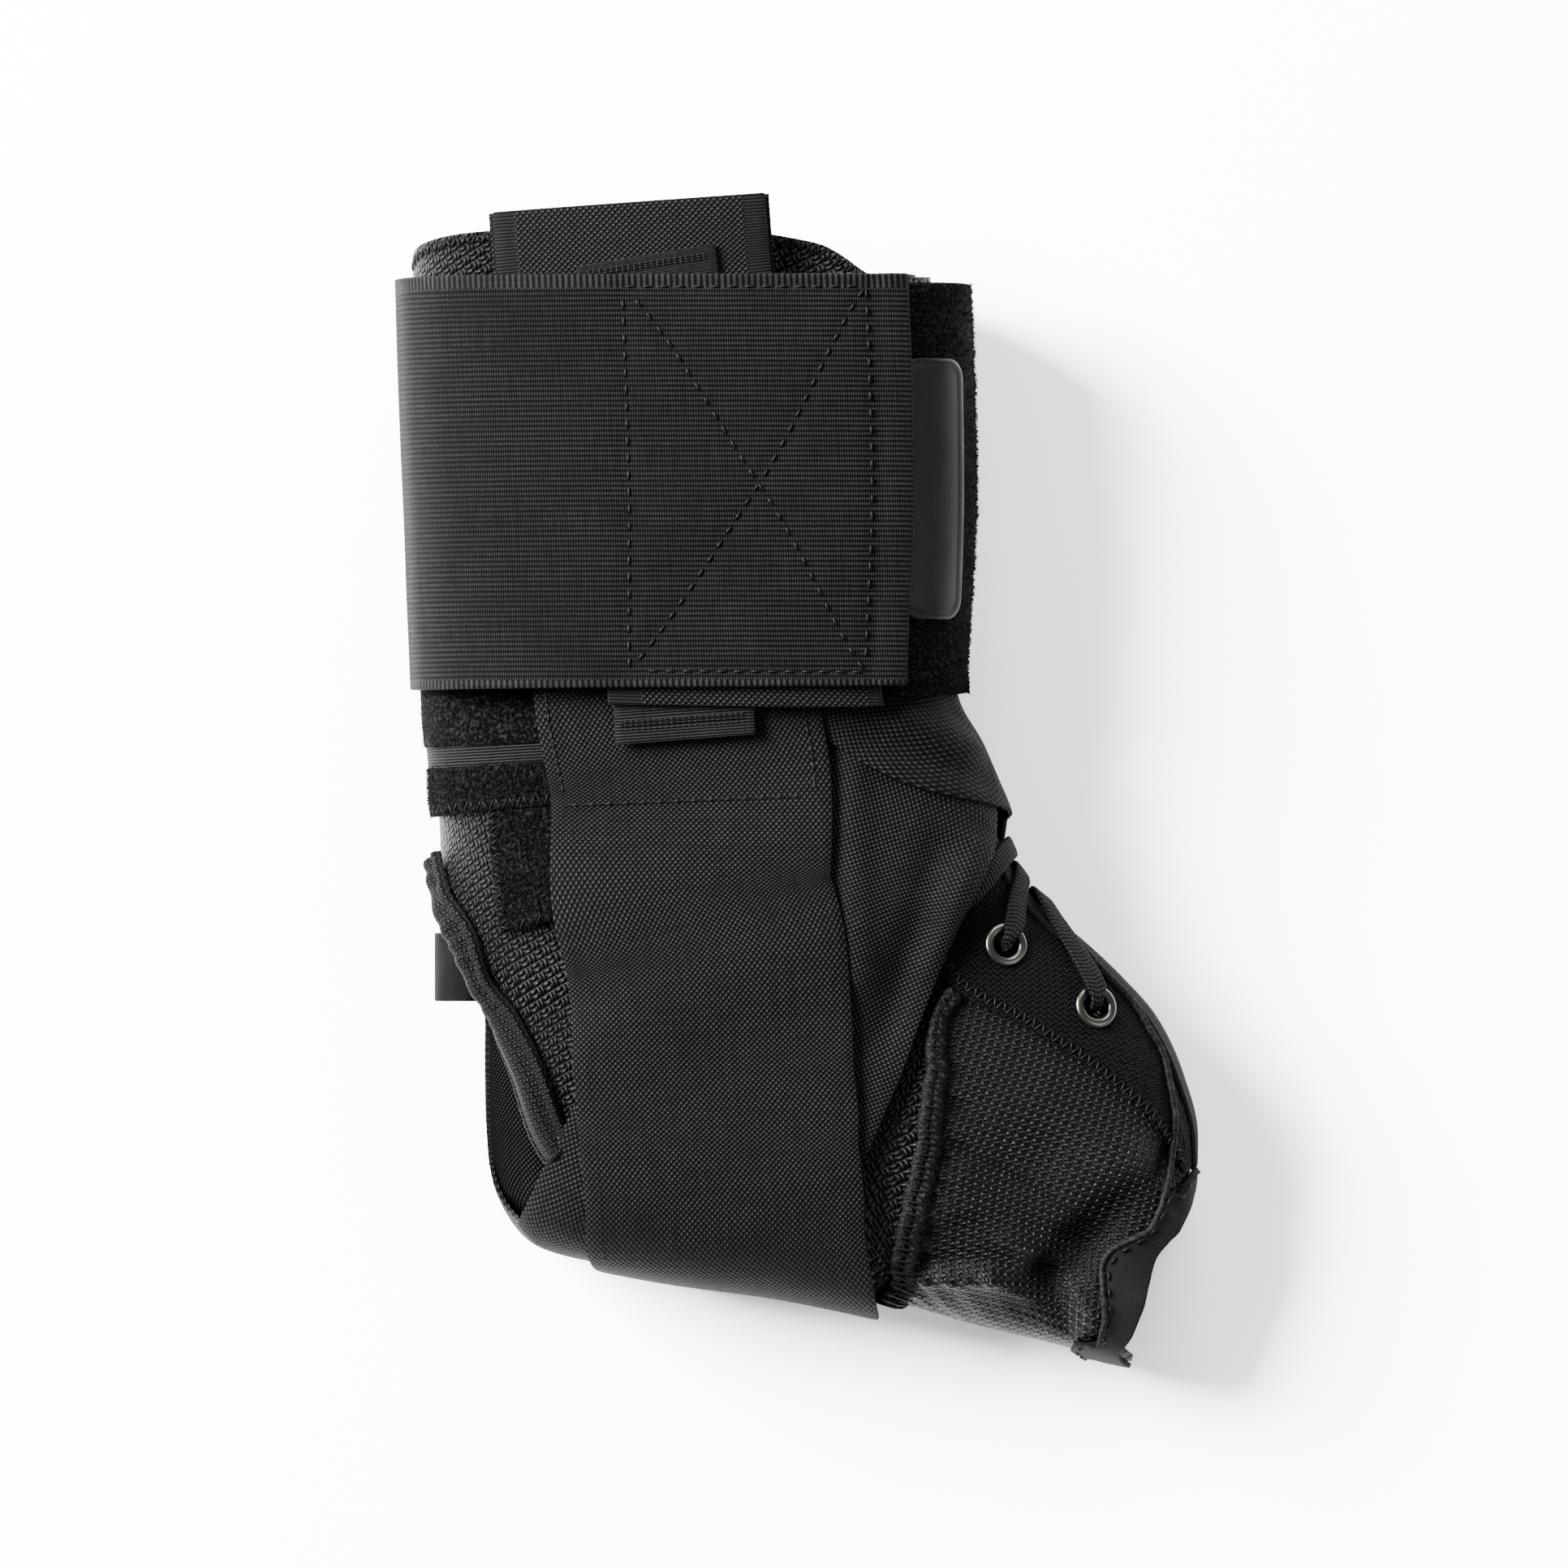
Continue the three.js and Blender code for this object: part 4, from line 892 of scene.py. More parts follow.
class Wire:
    """One shader socket's value; expressions on wires add the Math nodes they need."""

    def __init__(self, tree: bpy.types.NodeTree, socket: Any) -> None:
        """Takes the tree and the output socket that holds the value."""
        self.tree = tree
        self.socket = socket

    def math(self, operation: str, *others: Any) -> "Wire":
        """Adds a Math node to this value.

        Args:
            operation: the node's operation.
            *others: wires or numbers.

        Returns:
            The result.
        """
        node = self.tree.nodes.new("ShaderNodeMath")
        node.operation = operation
        for k, value in enumerate((self, *others)):
            if isinstance(value, Wire):
                self.tree.links.new(value.socket, node.inputs[k])
            else:
                node.inputs[k].default_value = value
        return Wire(self.tree, node.outputs[0])

    def __add__(self, other: Any) -> "Wire":
        """Returns the sum."""
        return self.math("ADD", other)

    def __radd__(self, other: Any) -> "Wire":
        """Returns the sum."""
        return self.math("ADD", other)

    def __sub__(self, other: Any) -> "Wire":
        """Returns the difference."""
        return self.math("SUBTRACT", other)

    def __rsub__(self, other: float) -> "Wire":
        """Returns a number less this value."""
        return (self * -1.0).math("ADD", other)

    def __mul__(self, other: Any) -> "Wire":
        """Returns the product."""
        return self.math("MULTIPLY", other)

    def __rmul__(self, other: Any) -> "Wire":
        """Returns the product."""
        return self.math("MULTIPLY", other)

    def __truediv__(self, other: Any) -> "Wire":
        """Returns the quotient."""
        return self.math("DIVIDE", other)

    def __pow__(self, other: Any) -> "Wire":
        """Returns the power."""
        return self.math("POWER", other)

    def __abs__(self) -> "Wire":
        """Returns the size without its sign."""
        return self.math("ABSOLUTE")

    def wave(self, period: float, phase: float = 0.0) -> "Wire":
        """Returns a sine of this value with a period in the same unit."""
        return (self * (2 * math.pi / period) + phase).math("SINE")

    def clamp(self, low: float = 0.0, high: float = 1.0) -> "Wire":
        """Returns the value held between two bounds."""
        return self.math("MAXIMUM", low).math("MINIMUM", high)

    def step(self, edge: float, soft: float) -> "Wire":
        """Returns 0 below an edge and 1 above it, over a soft width."""
        return ((self - (edge - soft / 2)) / soft).clamp()


class Weave(Enum):
    """How a cloth is made, which sets its pattern of threads."""

    BASKET = "basket"
    DOTTED = "dotted"
    HONEYCOMB = "honeycomb"
    RIBBED = "ribbed"
    KNITTED = "knitted"
    HOOKED = "hooked"
    TWILL = "twill"
    BRAID = "braid"
    PILE = "pile"


@dataclass(frozen=True)
class ClothFinish:
    """A cloth's finish.

    Attributes:
        name: the material's name.
        weave: its pattern.
        dark: colour between the threads.
        light: painted highlight colour on the threads' crowns; a hard finish mixes it in at random as a
            lighter tone.
        period: the pattern's repeat, in millimetres.
        depth: height of the relief, in millimetres.
        roughness: roughness of the threads.
        sheen: weight of the fibres' sheen.
        edge: half width where the plain selvage starts, in millimetres, or 0.
        gloss: how strongly it mirrors, as the shader's specular level.
    """

    name: str
    weave: Weave
    dark: tuple[float, float, float]
    light: tuple[float, float, float]
    period: float
    depth: float
    roughness: float = 0.62
    sheen: float = 0.0
    edge: float = 0.0
    gloss: float = 0.2

    def node(self, tree: bpy.types.NodeTree, kind: str, settings: Optional[dict] = None,
             inputs: Optional[dict] = None) -> bpy.types.Node:
        """Adds a node.

        Args:
            tree: the material's tree.
            kind: the node's type.
            settings: its settings, made first.
            inputs: values or links of its sockets, by name or number.

        Returns:
            The node.
        """
        node = tree.nodes.new(kind)
        for key, value in (settings or {}).items():
            setattr(node, key, value)
        for key, value in (inputs or {}).items():
            if isinstance(value, Wire):
                tree.links.new(value.socket, node.inputs[key])
            elif isinstance(value, bpy.types.NodeSocket):
                tree.links.new(value, node.inputs[key])
            else:
                node.inputs[key].default_value = value
        return node

    def threads(self, u: Wire, v: Wire, grain: Wire) -> tuple[Wire, Wire]:
        """Works out the weave's relief and the mask of the painted highlights on its thread crowns.

        Args:
            u: place across the cloth.
            v: place along it.
            grain: fine noise.

        Returns:
            The relief and the painted highlight mask, 0 to 1.
        """
        p = self.period
        if self.weave is Weave.DOTTED:
            dots = u.wave(p, math.pi / 2) * v.wave(p, math.pi / 2)
            return dots * 0.5 + 0.5, dots.step(0.45, 0.5)
        if self.weave is Weave.HOOKED:
            dots = u.wave(p * 1.5, math.pi / 2) * v.wave(p * 1.5, math.pi / 2)
            stripes = v.wave(p * 0.8) * 0.5 + 0.5
            field_mask = 1.0 - abs(u).step(self.edge, 0.4)
            mask = dots.step(0.5, 0.35) * field_mask + stripes * 0.3 * (1.0 - field_mask)
            return (dots * 0.5 + 0.5) * field_mask + stripes * 0.5 * (1.0 - field_mask), mask
        if self.weave is Weave.HONEYCOMB:
            cells = abs(u.wave(p * 2.2, math.pi / 2) * v.wave(p * 2, math.pi / 2))
            yarn = 1.0 - cells.step(0.5, 0.35)
            zigzag = (v + abs(u.wave(p * 2.2)) * (p * 0.35)).wave(p * 0.5) * 0.5 + 0.5
            return yarn * 0.7 + zigzag * 0.3 * yarn, yarn * zigzag.step(0.5, 0.7)
        if self.weave is Weave.RIBBED:
            ribs = abs(v.wave(p * 2))
            return ribs, ribs.step(0.7, 0.5)
        if self.weave is Weave.KNITTED:
            lean = abs(u.wave(p * 2)) * (p * 0.5)
            loops = ((v + lean).wave(p * 2) * 0.32 + 0.5) * (abs(u.wave(p * 2)) * 1.05 + 0.2)
            selvage = abs(v).step(self.edge, 0.3)
            ribs = u.wave(p * 2.4) * 0.3 + 0.5
            relief = loops * (1.0 - selvage) + ribs * selvage
            return relief, relief.step(0.56, 0.6)
        if self.weave is Weave.TWILL:
            lines = abs((u + v).wave(p * 2)) * (abs(u.wave(p * 1.3)) * 0.4 + 0.6)
            return lines, lines.step(0.6, 0.5)
        if self.weave is Weave.BRAID:
            plaits = abs((v + abs(u) * 0.35).wave(p * 2)) * (abs(u.wave(p * 1.6)) * 0.5 + 0.5)
            return plaits, plaits.step(0.55, 0.5)
        if self.weave is Weave.PILE:
            return grain, grain.step(0.62, 0.3)
        check = (u.wave(p * 2) * v.wave(p * 2) * 4.0 + 0.5).clamp()
        warp = abs(u.wave(p)) * abs(v.wave(p * 2))
        weft = abs(v.wave(p)) * abs(u.wave(p * 2))
        relief = warp * check + weft * (1.0 - check)
        return relief, relief.step(0.72, 0.4)

    def material(self, mapped: bool = True) -> bpy.types.Material:
        """Returns the material.

        Args:
            mapped: whether the piece has a cloth map; thin threads go by object coordinates.

        Returns:
            The material.
        """
        made = bpy.data.materials.new(self.name if mapped else self.name + "_thread")
        made.use_nodes = True
        tree = made.node_tree
        tree.nodes.clear()
        place = self.node(tree, "ShaderNodeTexCoord")
        coarse = self.node(tree, "ShaderNodeTexNoise", inputs={
            "Vector": place.outputs["Object"], "Scale": 38.0, "Detail": 3.0})
        fine = self.node(tree, "ShaderNodeTexNoise", inputs={
            "Vector": place.outputs["Object"], "Scale": 1500.0, "Detail": 2.0})
        cloud, grain = Wire(tree, coarse.outputs["Fac"]), Wire(tree, fine.outputs["Fac"])
        if mapped:
            source = self.node(tree, "ShaderNodeUVMap", {"uv_map": "cloth"}).outputs["UV"]
            split = self.node(tree, "ShaderNodeSeparateXYZ", inputs={0: source})
            u, v = Wire(tree, split.outputs[0]), Wire(tree, split.outputs[1])
            sway = (cloud - 0.5) * (self.period * 0.5)
            # The weave gives a relief for the bump and a mask of painted highlights on the thread crowns.
            relief, painted_glint_mask = self.threads(u + sway, v + sway, grain)
            fine_step = 0.9 / self.period
            streaks = []
            for x, y in ((0.09, fine_step), (fine_step, 0.09)):
                lie = self.node(tree, "ShaderNodeCombineXYZ", inputs={0: u * x, 1: v * y})
                streak = self.node(tree, "ShaderNodeTexNoise", inputs={
                    "Vector": lie.outputs[0], "Scale": 1.0, "Detail": 1.0})
                streaks.append(Wire(tree, streak.outputs["Fac"]))
            uneven = streaks[0] + streaks[1]
            # Streaky noise breaks up the painted highlights along and across the yarns.
            painted_glint_mask = painted_glint_mask * (uneven - 0.15).clamp(0.2, 1.5)
        else:
            # Thin threads get flecks of painted highlight from fine noise.
            relief, painted_glint_mask = grain, grain.step(0.5, 0.5)
        # Painted highlight: the light colour is painted onto the thread crowns, varied by the cloud and grain
        # noise; elsewhere the dark colour shows.
        painted_glint = (painted_glint_mask * (0.45 + 0.9 * cloud) * (0.5 + grain)).clamp()
        colour = self.node(tree, "ShaderNodeMix", {"data_type": "RGBA"}, {
            "Factor": painted_glint, 6: (*self.dark, 1.0), 7: (*self.light, 1.0)})
        bump = self.node(tree, "ShaderNodeBump", inputs={
            "Height": relief + grain * 0.25, "Strength": 1.0, "Distance": self.depth * MM})
        rough = (self.roughness + 0.16 * cloud - painted_glint_mask * 0.14).clamp()
        shader = self.node(tree, "ShaderNodeBsdfPrincipled", inputs={
            "Base Color": colour.outputs[2], "Roughness": rough, "Normal": bump.outputs[0],
            "Sheen Weight": self.sheen, "Sheen Roughness": 0.5, "Specular IOR Level": self.gloss})
        self.node(tree, "ShaderNodeOutputMaterial", inputs={0: shader.outputs[0]})
        return made


@dataclass(frozen=True)
class HardFinish(ClothFinish):
    """A smooth finish, rubber or metal, with fine wear in place of threads."""

    metallic: float = 0.0

    def material(self, mapped: bool = True) -> bpy.types.Material:
        """Makes the material, which always goes by object coordinates.

        Args:
            mapped: not used, since no cloth map is read.

        Returns:
            The material.
        """
        made = bpy.data.materials.new(self.name)
        made.use_nodes = True
        tree = made.node_tree
        tree.nodes.clear()
        place = self.node(tree, "ShaderNodeTexCoord")
        soft = self.node(tree, "ShaderNodeTexNoise", inputs={
            "Vector": place.outputs["Object"], "Scale": 160.0, "Detail": 5.0})
        fine = self.node(tree, "ShaderNodeTexNoise", inputs={
            "Vector": place.outputs["Object"], "Scale": 1000.0 / self.period, "Detail": 3.0})
        cloud, grain = Wire(tree, soft.outputs["Fac"]), Wire(tree, fine.outputs["Fac"])
        colour = self.node(tree, "ShaderNodeMix", {"data_type": "RGBA"}, {
            "Factor": (cloud * 0.7 + grain * 0.3).clamp(), 6: (*self.dark, 1.0), 7: (*self.light, 1.0)})
        bump = self.node(tree, "ShaderNodeBump", inputs={
            "Height": grain, "Strength": 0.5, "Distance": self.depth * MM})
        rough = (self.roughness + (cloud - 0.5) * 0.3).clamp()
        shader = self.node(tree, "ShaderNodeBsdfPrincipled", inputs={
            "Base Color": colour.outputs[2], "Roughness": rough, "Normal": bump.outputs[0],
            "Metallic": self.metallic, "Specular IOR Level": self.gloss})
        self.node(tree, "ShaderNodeOutputMaterial", inputs={0: shader.outputs[0]})
        return made


# In each cloth finish the first colour is the cloth's black and the second the painted highlight on its
# thread crowns; the two hard finishes mix two random tones.
BOOT_MESH = ClothFinish(
    "boot_mesh", Weave.BASKET, (0.0002, 0.0002, 0.0003), (0.0078, 0.0078, 0.0085),
    period=1.9, depth=0.75, roughness=0.42, gloss=0.07)
VAMP_MESH = ClothFinish(
    "vamp_mesh", Weave.HONEYCOMB, (0.0001, 0.0001, 0.0002), (0.006, 0.0062, 0.0068),
    period=1.5, depth=0.9, roughness=0.4, gloss=0.05)
STAY_CLOTH = ClothFinish(
    "stay_cloth", Weave.BASKET, (0.0001, 0.0001, 0.0002), (0.0054, 0.0054, 0.0058),
    period=0.95, depth=0.5, roughness=0.5, gloss=0.02)
BINDING_CLOTH = ClothFinish(
    "binding_cloth", Weave.TWILL, (0.0002, 0.0002, 0.0003), (0.0046, 0.0043, 0.005),
    period=0.6, depth=0.2, gloss=0.03)
HEEL_PIPING = ClothFinish(
    "heel_piping", Weave.BASKET, (0.0002, 0.0002, 0.0003), (0.0076, 0.0076, 0.0083),
    period=0.9, depth=0.3, gloss=0.04)
LOOP_PILE = ClothFinish(
    "loop_pile", Weave.PILE, (0.0001, 0.0001, 0.0002), (0.0056, 0.0052, 0.006),
    period=0.6, depth=0.5, roughness=0.9, gloss=0.02)
GROSGRAIN = ClothFinish(
    "grosgrain", Weave.RIBBED, (0.0003, 0.0003, 0.0004), (0.0058, 0.006, 0.0064),
    period=0.55, depth=0.22, gloss=0.03)
STRAP_WEBBING = ClothFinish(
    "strap_webbing", Weave.DOTTED, (0.0002, 0.0002, 0.0003), (0.0086, 0.0089, 0.0092),
    period=1.07, depth=0.25, gloss=0.025)
HOOK_TAPE = ClothFinish(
    "hook_tape", Weave.HOOKED, (0.0003, 0.0003, 0.0004), (0.0098, 0.0101, 0.0105),
    period=0.8, depth=0.3, edge=21.5, gloss=0.03)
ELASTIC_WEBBING = ClothFinish(
    "elastic_webbing", Weave.KNITTED, (0.0001, 0.0001, 0.0002), (0.0058, 0.006, 0.0062),
    period=0.47, depth=0.25, edge=36.8, gloss=0.02)
LACE_CORD = ClothFinish(
    "lace_cord", Weave.BRAID, (0.0002, 0.0002, 0.0003), (0.0032, 0.0031, 0.0034),
    period=0.85, depth=0.3, gloss=0.03)
SEWING_THREAD = ClothFinish(
    "sewing_thread", Weave.TWILL, (0.0001, 0.0001, 0.0001), (0.0010, 0.0010, 0.0011),
    period=0.3, depth=0.05, roughness=0.5, gloss=0.05)
LABEL_RUBBER = HardFinish(
    "label_rubber", Weave.PILE, (0.0008, 0.0008, 0.0009), (0.0014, 0.0014, 0.0015),
    period=0.5, depth=0.04, roughness=0.4, gloss=0.06)
EYELET_METAL = HardFinish(
    "eyelet_metal", Weave.PILE, (0.022, 0.0205, 0.0185), (0.055, 0.052, 0.047),
    period=0.7, depth=0.02, roughness=0.28, gloss=0.5, metallic=1.0)


class Workshop:
    """Dresses finished objects: material, body and the solid that each stands for."""

    def __init__(self) -> None:
        """Starts with no material made."""
        self.made: dict[str, bpy.types.Material] = {}

    def dress(self, obj: bpy.types.Object, finish: ClothFinish, slot: str, node: Optional[str] = None,
              mapped: bool = True) -> bpy.types.Object:
        """Gives an object its finish.

        Args:
            obj: the object.
            finish: what it is made of.
            slot: the record's material slot; not used.
            node: the solid that it stands for, or None for a detail.
            mapped: whether it has a cloth map.

        Returns:
            The object.
        """
        key = f"{finish.name}{mapped}"
        if key not in self.made:
            self.made[key] = finish.material(mapped)
        obj.data.materials.clear()
        obj.data.materials.append(self.made[key])
        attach(obj, "root")
        if node:
            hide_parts(node)
        LOG.info("piece %s: %d faces", obj.name, len(obj.data.polygons))
        return obj

    def sheet(self, surface: Surface) -> None:
        """Works out the flat size of a cloth's surface; nothing more is done with it.

        Args:
            surface: its outer face.
        """
        width, length = surface.size()

    def lay(self, patch: Patch, finish: ClothFinish, slot: str, node: str,
            rests_on: Sequence[str] = ()) -> Surface:
        """Args:
            patch: the cloth.
            finish: what it is made of.
            slot: the record's material slot.
            node: the solid that it stands for.
            rests_on: pieces under it, or none if it isn't a sheet.

        Returns:
            Its outer face.
        """
        points = Form.cloth(patch.station, patch.angle, patch.outer)
        surface = Surface(points if patch.shift is None else points + patch.shift)
        obj = self.dress(patch.build(), finish, slot, node)
        if rests_on and min(surface.size()) > LEAST_SHEET:
            self.sheet(surface)
        return surface


# The boot's edges, over the angle round the form
CUFF_TOP = Table((
    (-200, 0.6), (-150, 0.35), (-90, 0.3), (-40, 0.9), (45, 0.95), (62, 0.54), (90, 0.28), (128, 0.36),
    (163, 0.58), (180, 0.74), (230, 0.4), (320, 0.9),
))
ARCH_SEAM = Table((
    (0, 7.2), (60, 7.72), (77, 8.8), (97, 9.82), (124, 10.55), (150, 10.87), (210, 10.87), (236, 10.55),
    (263, 9.82), (283, 8.8), (300, 7.72), (340, 7.2),
))
TOE_RIM = Table((
    (0, 13), (30, 12.97), (50, 12.97), (62, 12.96), (74, 12.84), (84, 12.77), (97, 12.83), (110, 12.88),
    (125, 12.88), (145, 12.84), (180, 12.98), (230, 12.8), (340, 13),
))
NEAR_EDGE, FAR_EDGE = 13.0, 330.0
PADDING = Table(((-1, PADDED_WALL), (3.4, PADDED_WALL), (5.2, MESH_WALL), (13, MESH_WALL)))
HEEL_OPENING = Table((
    (4.25, 178, 182), (4.7, 172, 190), (5.2, 159, 204), (5.64, 163, 210), (5.96, 160, 216), (6.5, 149, 226),
    (7.3, 142, 236), (8.0, 155, 226), (8.5, 178, 182),
))
HEEL_FIRST, HEEL_LAST = 4.25, 8.5
# Bindings of the heel opening: name, route of stations and angles, width and bulge in millimetres
HEEL_ROLLS = (
    ("near", ((4.4, 173), (4.7, 166), (5.2, 153), (5.64, 156), (5.96, 153), (6.5, 142.5), (7.3, 135.5)),
     7.4, 1.9),
    ("far", ((4.6, 196), (5.2, 208), (5.4, 209)), 3.4, 0.4),
)
TONGUE_DEPTH = Table((
    (0.9, -PADDED_WALL - CLEAR), (2, -PADDED_WALL - 2 * CLEAR), (4.4, -PADDED_WALL - 3 * CLEAR),
    (5.4, -5.2), (10.2, -5.2), (11.2, -MESH_WALL - CLEAR), (12.3, -MESH_WALL - CLEAR),
))
STAY_EDGE = Table((
    (5.2, 56, 296), (7.64, 59.6, 290), (8.61, 57.5, 290), (10.06, 56, 292), (11.5, 47.5, 300),
    (12.4, 41, 306),
))
STAY_TOP, STAY_END = 5.4, 12.4
BINDING_SPAN = Table(((5, 25, 318), (9, 25.5, 317.5), (12.4, 30, 313)))
RIM_STATION_WIDTH = 0.42
# Spacing of the stations over the foot, in millimetres
MM_PER_STATION = 17.0
# Points along the hem's piping, and along the hem for the toe binding
HEM_POINTS, TOE_HEM_POINTS = 260, 60

# The hem's ridge in the plan, from the lacing gap round to the toe rim's foot, in millimetres
HEM_LINE = (
    (53.9, -30.8), (56.1, -33.5), (59.6, -37.1), (63.2, -40.9), (66.5, -46.3), (69.2, -51.2), (70.5, -56.8),
    (71.5, -63.8), (71.0, -70.0), (69.8, -77.1), (68.4, -81.2), (66.5, -84.6), (62.2, -86.8), (59.0, -88.8),
    (57.6, -91.7), (57.8, -95.4), (58.2, -100.6), (57.6, -104.4), (57.3, -106.2),
)


@dataclass(frozen=True)
class Eyelet:
    """An eyelet's name and place."""

    name: str
    station: float
    angle: float


EYELETS = (
    Eyelet("upper_near", 7.36, 41.9), Eyelet("lower_near", 9.15, 38.5),
    Eyelet("upper_far", 7.5, 306), Eyelet("lower_far", 9.0, 306),
)


@dataclass
class Boot:
    """The boot: padded shell, mesh vamp, tongue, stays and bindings.

    Attributes:
        shop: dresses its pieces.
        columns: cells of the shell round the form.
        rows: its cells along.
        gather: height of the gathers beside the arch seam, in millimetres.
        gather_pitch: distance between two gathers.
        seam_gap: gap of shell and vamp at the arch seam, in stations.
        punch_radius: radius of the eyelets' holes, in millimetres.
        surfaces: outer faces of the finished pieces.
    """

    shop: Workshop
    columns: int = 150
    rows: int = 120
    gather: float = 0.5
    gather_pitch: float = 5.2
    seam_gap: float = 0.002
    punch_radius: float = 3.15
    surfaces: dict[str, Surface] = field(default_factory=dict)

    def punches(self) -> list[tuple[Array, float]]:
        """Returns the places of the eyelets' holes and their radius."""
        return [(Form.cloth(np.array(e.station), np.array(e.angle), 0.0), self.punch_radius) for e in EYELETS]

    def shell(self) -> None:
        """Makes the padded shell in two halves that part round the heel opening."""
        half = self.columns // 2
        s, t = mesh_grid(self.rows, half)
        grids = []
        for side, start in (("near", NEAR_EDGE), ("far", FAR_EDGE)):
            angle = lerp(start, 180.0, s)
            for _ in range(6):
                top, seam = CUFF_TOP.read(angle), ARCH_SEAM.read(angle) - self.seam_gap
                station = lerp(top, seam, t)
                edges = HEEL_OPENING.read(station)
                inside = (station > HEEL_FIRST) & (station < HEEL_LAST)
                edge = np.where(inside, edges[..., 0 if side == "near" else 1], 180.0)
                angle = lerp(start, edge, s)
            grids.append((station, angle))
        near, far = grids
        station = np.concatenate([near[0], far[0][:, ::-1]], 1)
        angle = np.concatenate([near[1], far[1][:, ::-1]], 1)
        numbers = np.arange(station.size).reshape(station.shape)
        closed = np.abs(angle[:, half] - angle[:, half + 1]) < 0.5
        numbers[closed, half + 1] = numbers[closed, half]
        left = grid_quads(self.rows + 1, half + 1, numbers[:, :half + 1])
        right = grid_quads(self.rows + 1, half + 1, numbers[:, half + 1:])
        outer_offset = self.shell_relief(station, angle)
        inner_offset = -np.maximum(PADDING.read(station), MESH_WALL)
        outer = Form.cloth(station, angle, outer_offset)
        inner = Form.cloth(station, angle, inner_offset)
        flat = plan_map(outer, angle, 24.0)
        points = outer.reshape(-1, 3)
        quads = punched(np.concatenate([left, right]), points, self.punches())
        obj = Bench.wall("boot_shell_cloth", points, inner.reshape(-1, 3), quads, flat.reshape(-1, 2))
        Bench.rounded(obj, 0.6, 3)
        self.surfaces["shell"] = Surface(outer[:, :half + 1])
        self.shop.dress(obj, BOOT_MESH, "boot_mesh", "boot_shell")

    def shell_relief(self, station: Array, angle: Array) -> Array:
        """Works out the shell's puckers and soft unevenness.

        Args:
            station: stations along the form.
            angle: angles round it, in degrees.

        Returns:
            The offsets, in millimetres.
        """
        points = Form.point(station, angle)
        edges = HEEL_OPENING.read(station)
        nearness = np.exp(-np.maximum(edges[..., 0] - angle, 0) / 9) * (angle < 180)
        inside = np.clip((station - 4.6) * 3, 0, 1) * np.clip((8.2 - station) * 3, 0, 1)
        puckers = np.sin(station * 21 + np.sin(station * 5) * 1.4) * nearness * inside * 0.55
        return ripple(3, 34, points) * 0.22 * np.clip(station - 3.2, 0, 1) + puckers - np.abs(puckers) * 0.2

    def vamp(self) -> None:
        """Makes the mesh panel over the foot, gathered along the arch seam."""
        s, t = mesh_grid(72, 170)
        angle = lerp(NEAR_EDGE, FAR_EDGE, s)
        seam, rim = ARCH_SEAM.read(angle) + self.seam_gap, TOE_RIM.read(angle)
        station = lerp(seam, rim, t)
        points = Form.point(station, angle)
        from_seam = (station - seam) * MM_PER_STATION
        steps = np.linalg.norm(np.diff(points, axis=1), axis=-1)
        around = np.concatenate([np.zeros((len(points), 1)), steps.cumsum(1)], 1)
        wave = np.sin(around * 2 * math.pi / self.gather_pitch + np.sin(around * 0.21) * 1.5)
        free = np.clip((angle - 60) / 20, 0, 1)
        relief = wave * self.gather * np.exp(-from_seam / 7.0) * np.clip(from_seam / 1.5, 0, 1) * free
        folds = ripple(11, 24, points) * 0.2 * np.clip(from_seam / 8, 0, 1) * free
        folds = folds + creased(VAMP_CREASES, points) * on_near_face(angle)
        patch = Patch("vamp_panel_cloth", station, angle, relief + folds,
                      -np.maximum(PADDING.read(station), MESH_WALL) + relief + folds, holes=self.punches(),
                      flat=plan_map(points, angle, -17.0))
        self.surfaces["vamp"] = self.shop.lay(patch, VAMP_MESH, "vamp_mesh", "vamp_panel",
                                              ["boot_shell_cloth"])

    def tongue(self) -> None:
        """Makes the padded tongue under the lacing gap."""
        s, t = mesh_grid(120, 40)
        station, angle = lerp(0.9, 12.3, t), lerp(-58.0, 36.0, s)
        outer = TONGUE_DEPTH.read(station)
        patch = Patch("tongue_cloth", station, angle, outer, outer - TONGUE_WALL, rim=0.9)
        obj = self.shop.dress(patch.build(), BOOT_MESH, "boot_mesh", "tongue")

    def stays(self) -> None:
        """Makes the eyelet stays and the bindings of the gap's edges."""
        for side, column, edge in (("near", 0, NEAR_EDGE), ("far", 1, FAR_EDGE)):
            s, t = mesh_grid(110, 24)
            station = lerp(STAY_TOP, STAY_END, t)
            start = BINDING_SPAN.read(station)[..., column]
            angle = lerp(start, STAY_EDGE.read(station)[..., column], s)
            fray = ripple(5, 1.6, Form.point(station, angle)) * 0.07
            patch = Patch(f"{side}_stay_cloth", station, angle, STAY.outer + fray,
                          np.full(s.shape, STAY.inner), rim=0.2, holes=self.punches())
            self.surfaces[side + "_stay"] = self.shop.lay(
                patch, STAY_CLOTH, "stay_cloth", f"{side}_eyelet_stay", ["vamp_panel_cloth"])
            s, t = mesh_grid(140, 8)
            station = lerp(STAY_TOP, STAY_END + 0.1, t)
            rim = BINDING_SPAN.read(station)[..., column]
            angle = lerp(edge, rim - np.sign(rim - edge), s)
            roll = np.sin(s * math.pi) * 0.3 + bell((s - 0.86) / 0.1) * 0.5
            patch = Patch(f"{side}_binding_cloth", station, angle, BINDING.outer + roll,
                          np.full(s.shape, BINDING.inner))
            self.shop.dress(patch.build(), BINDING_CLOTH, "binding_cloth", f"{side}_edge_binding")

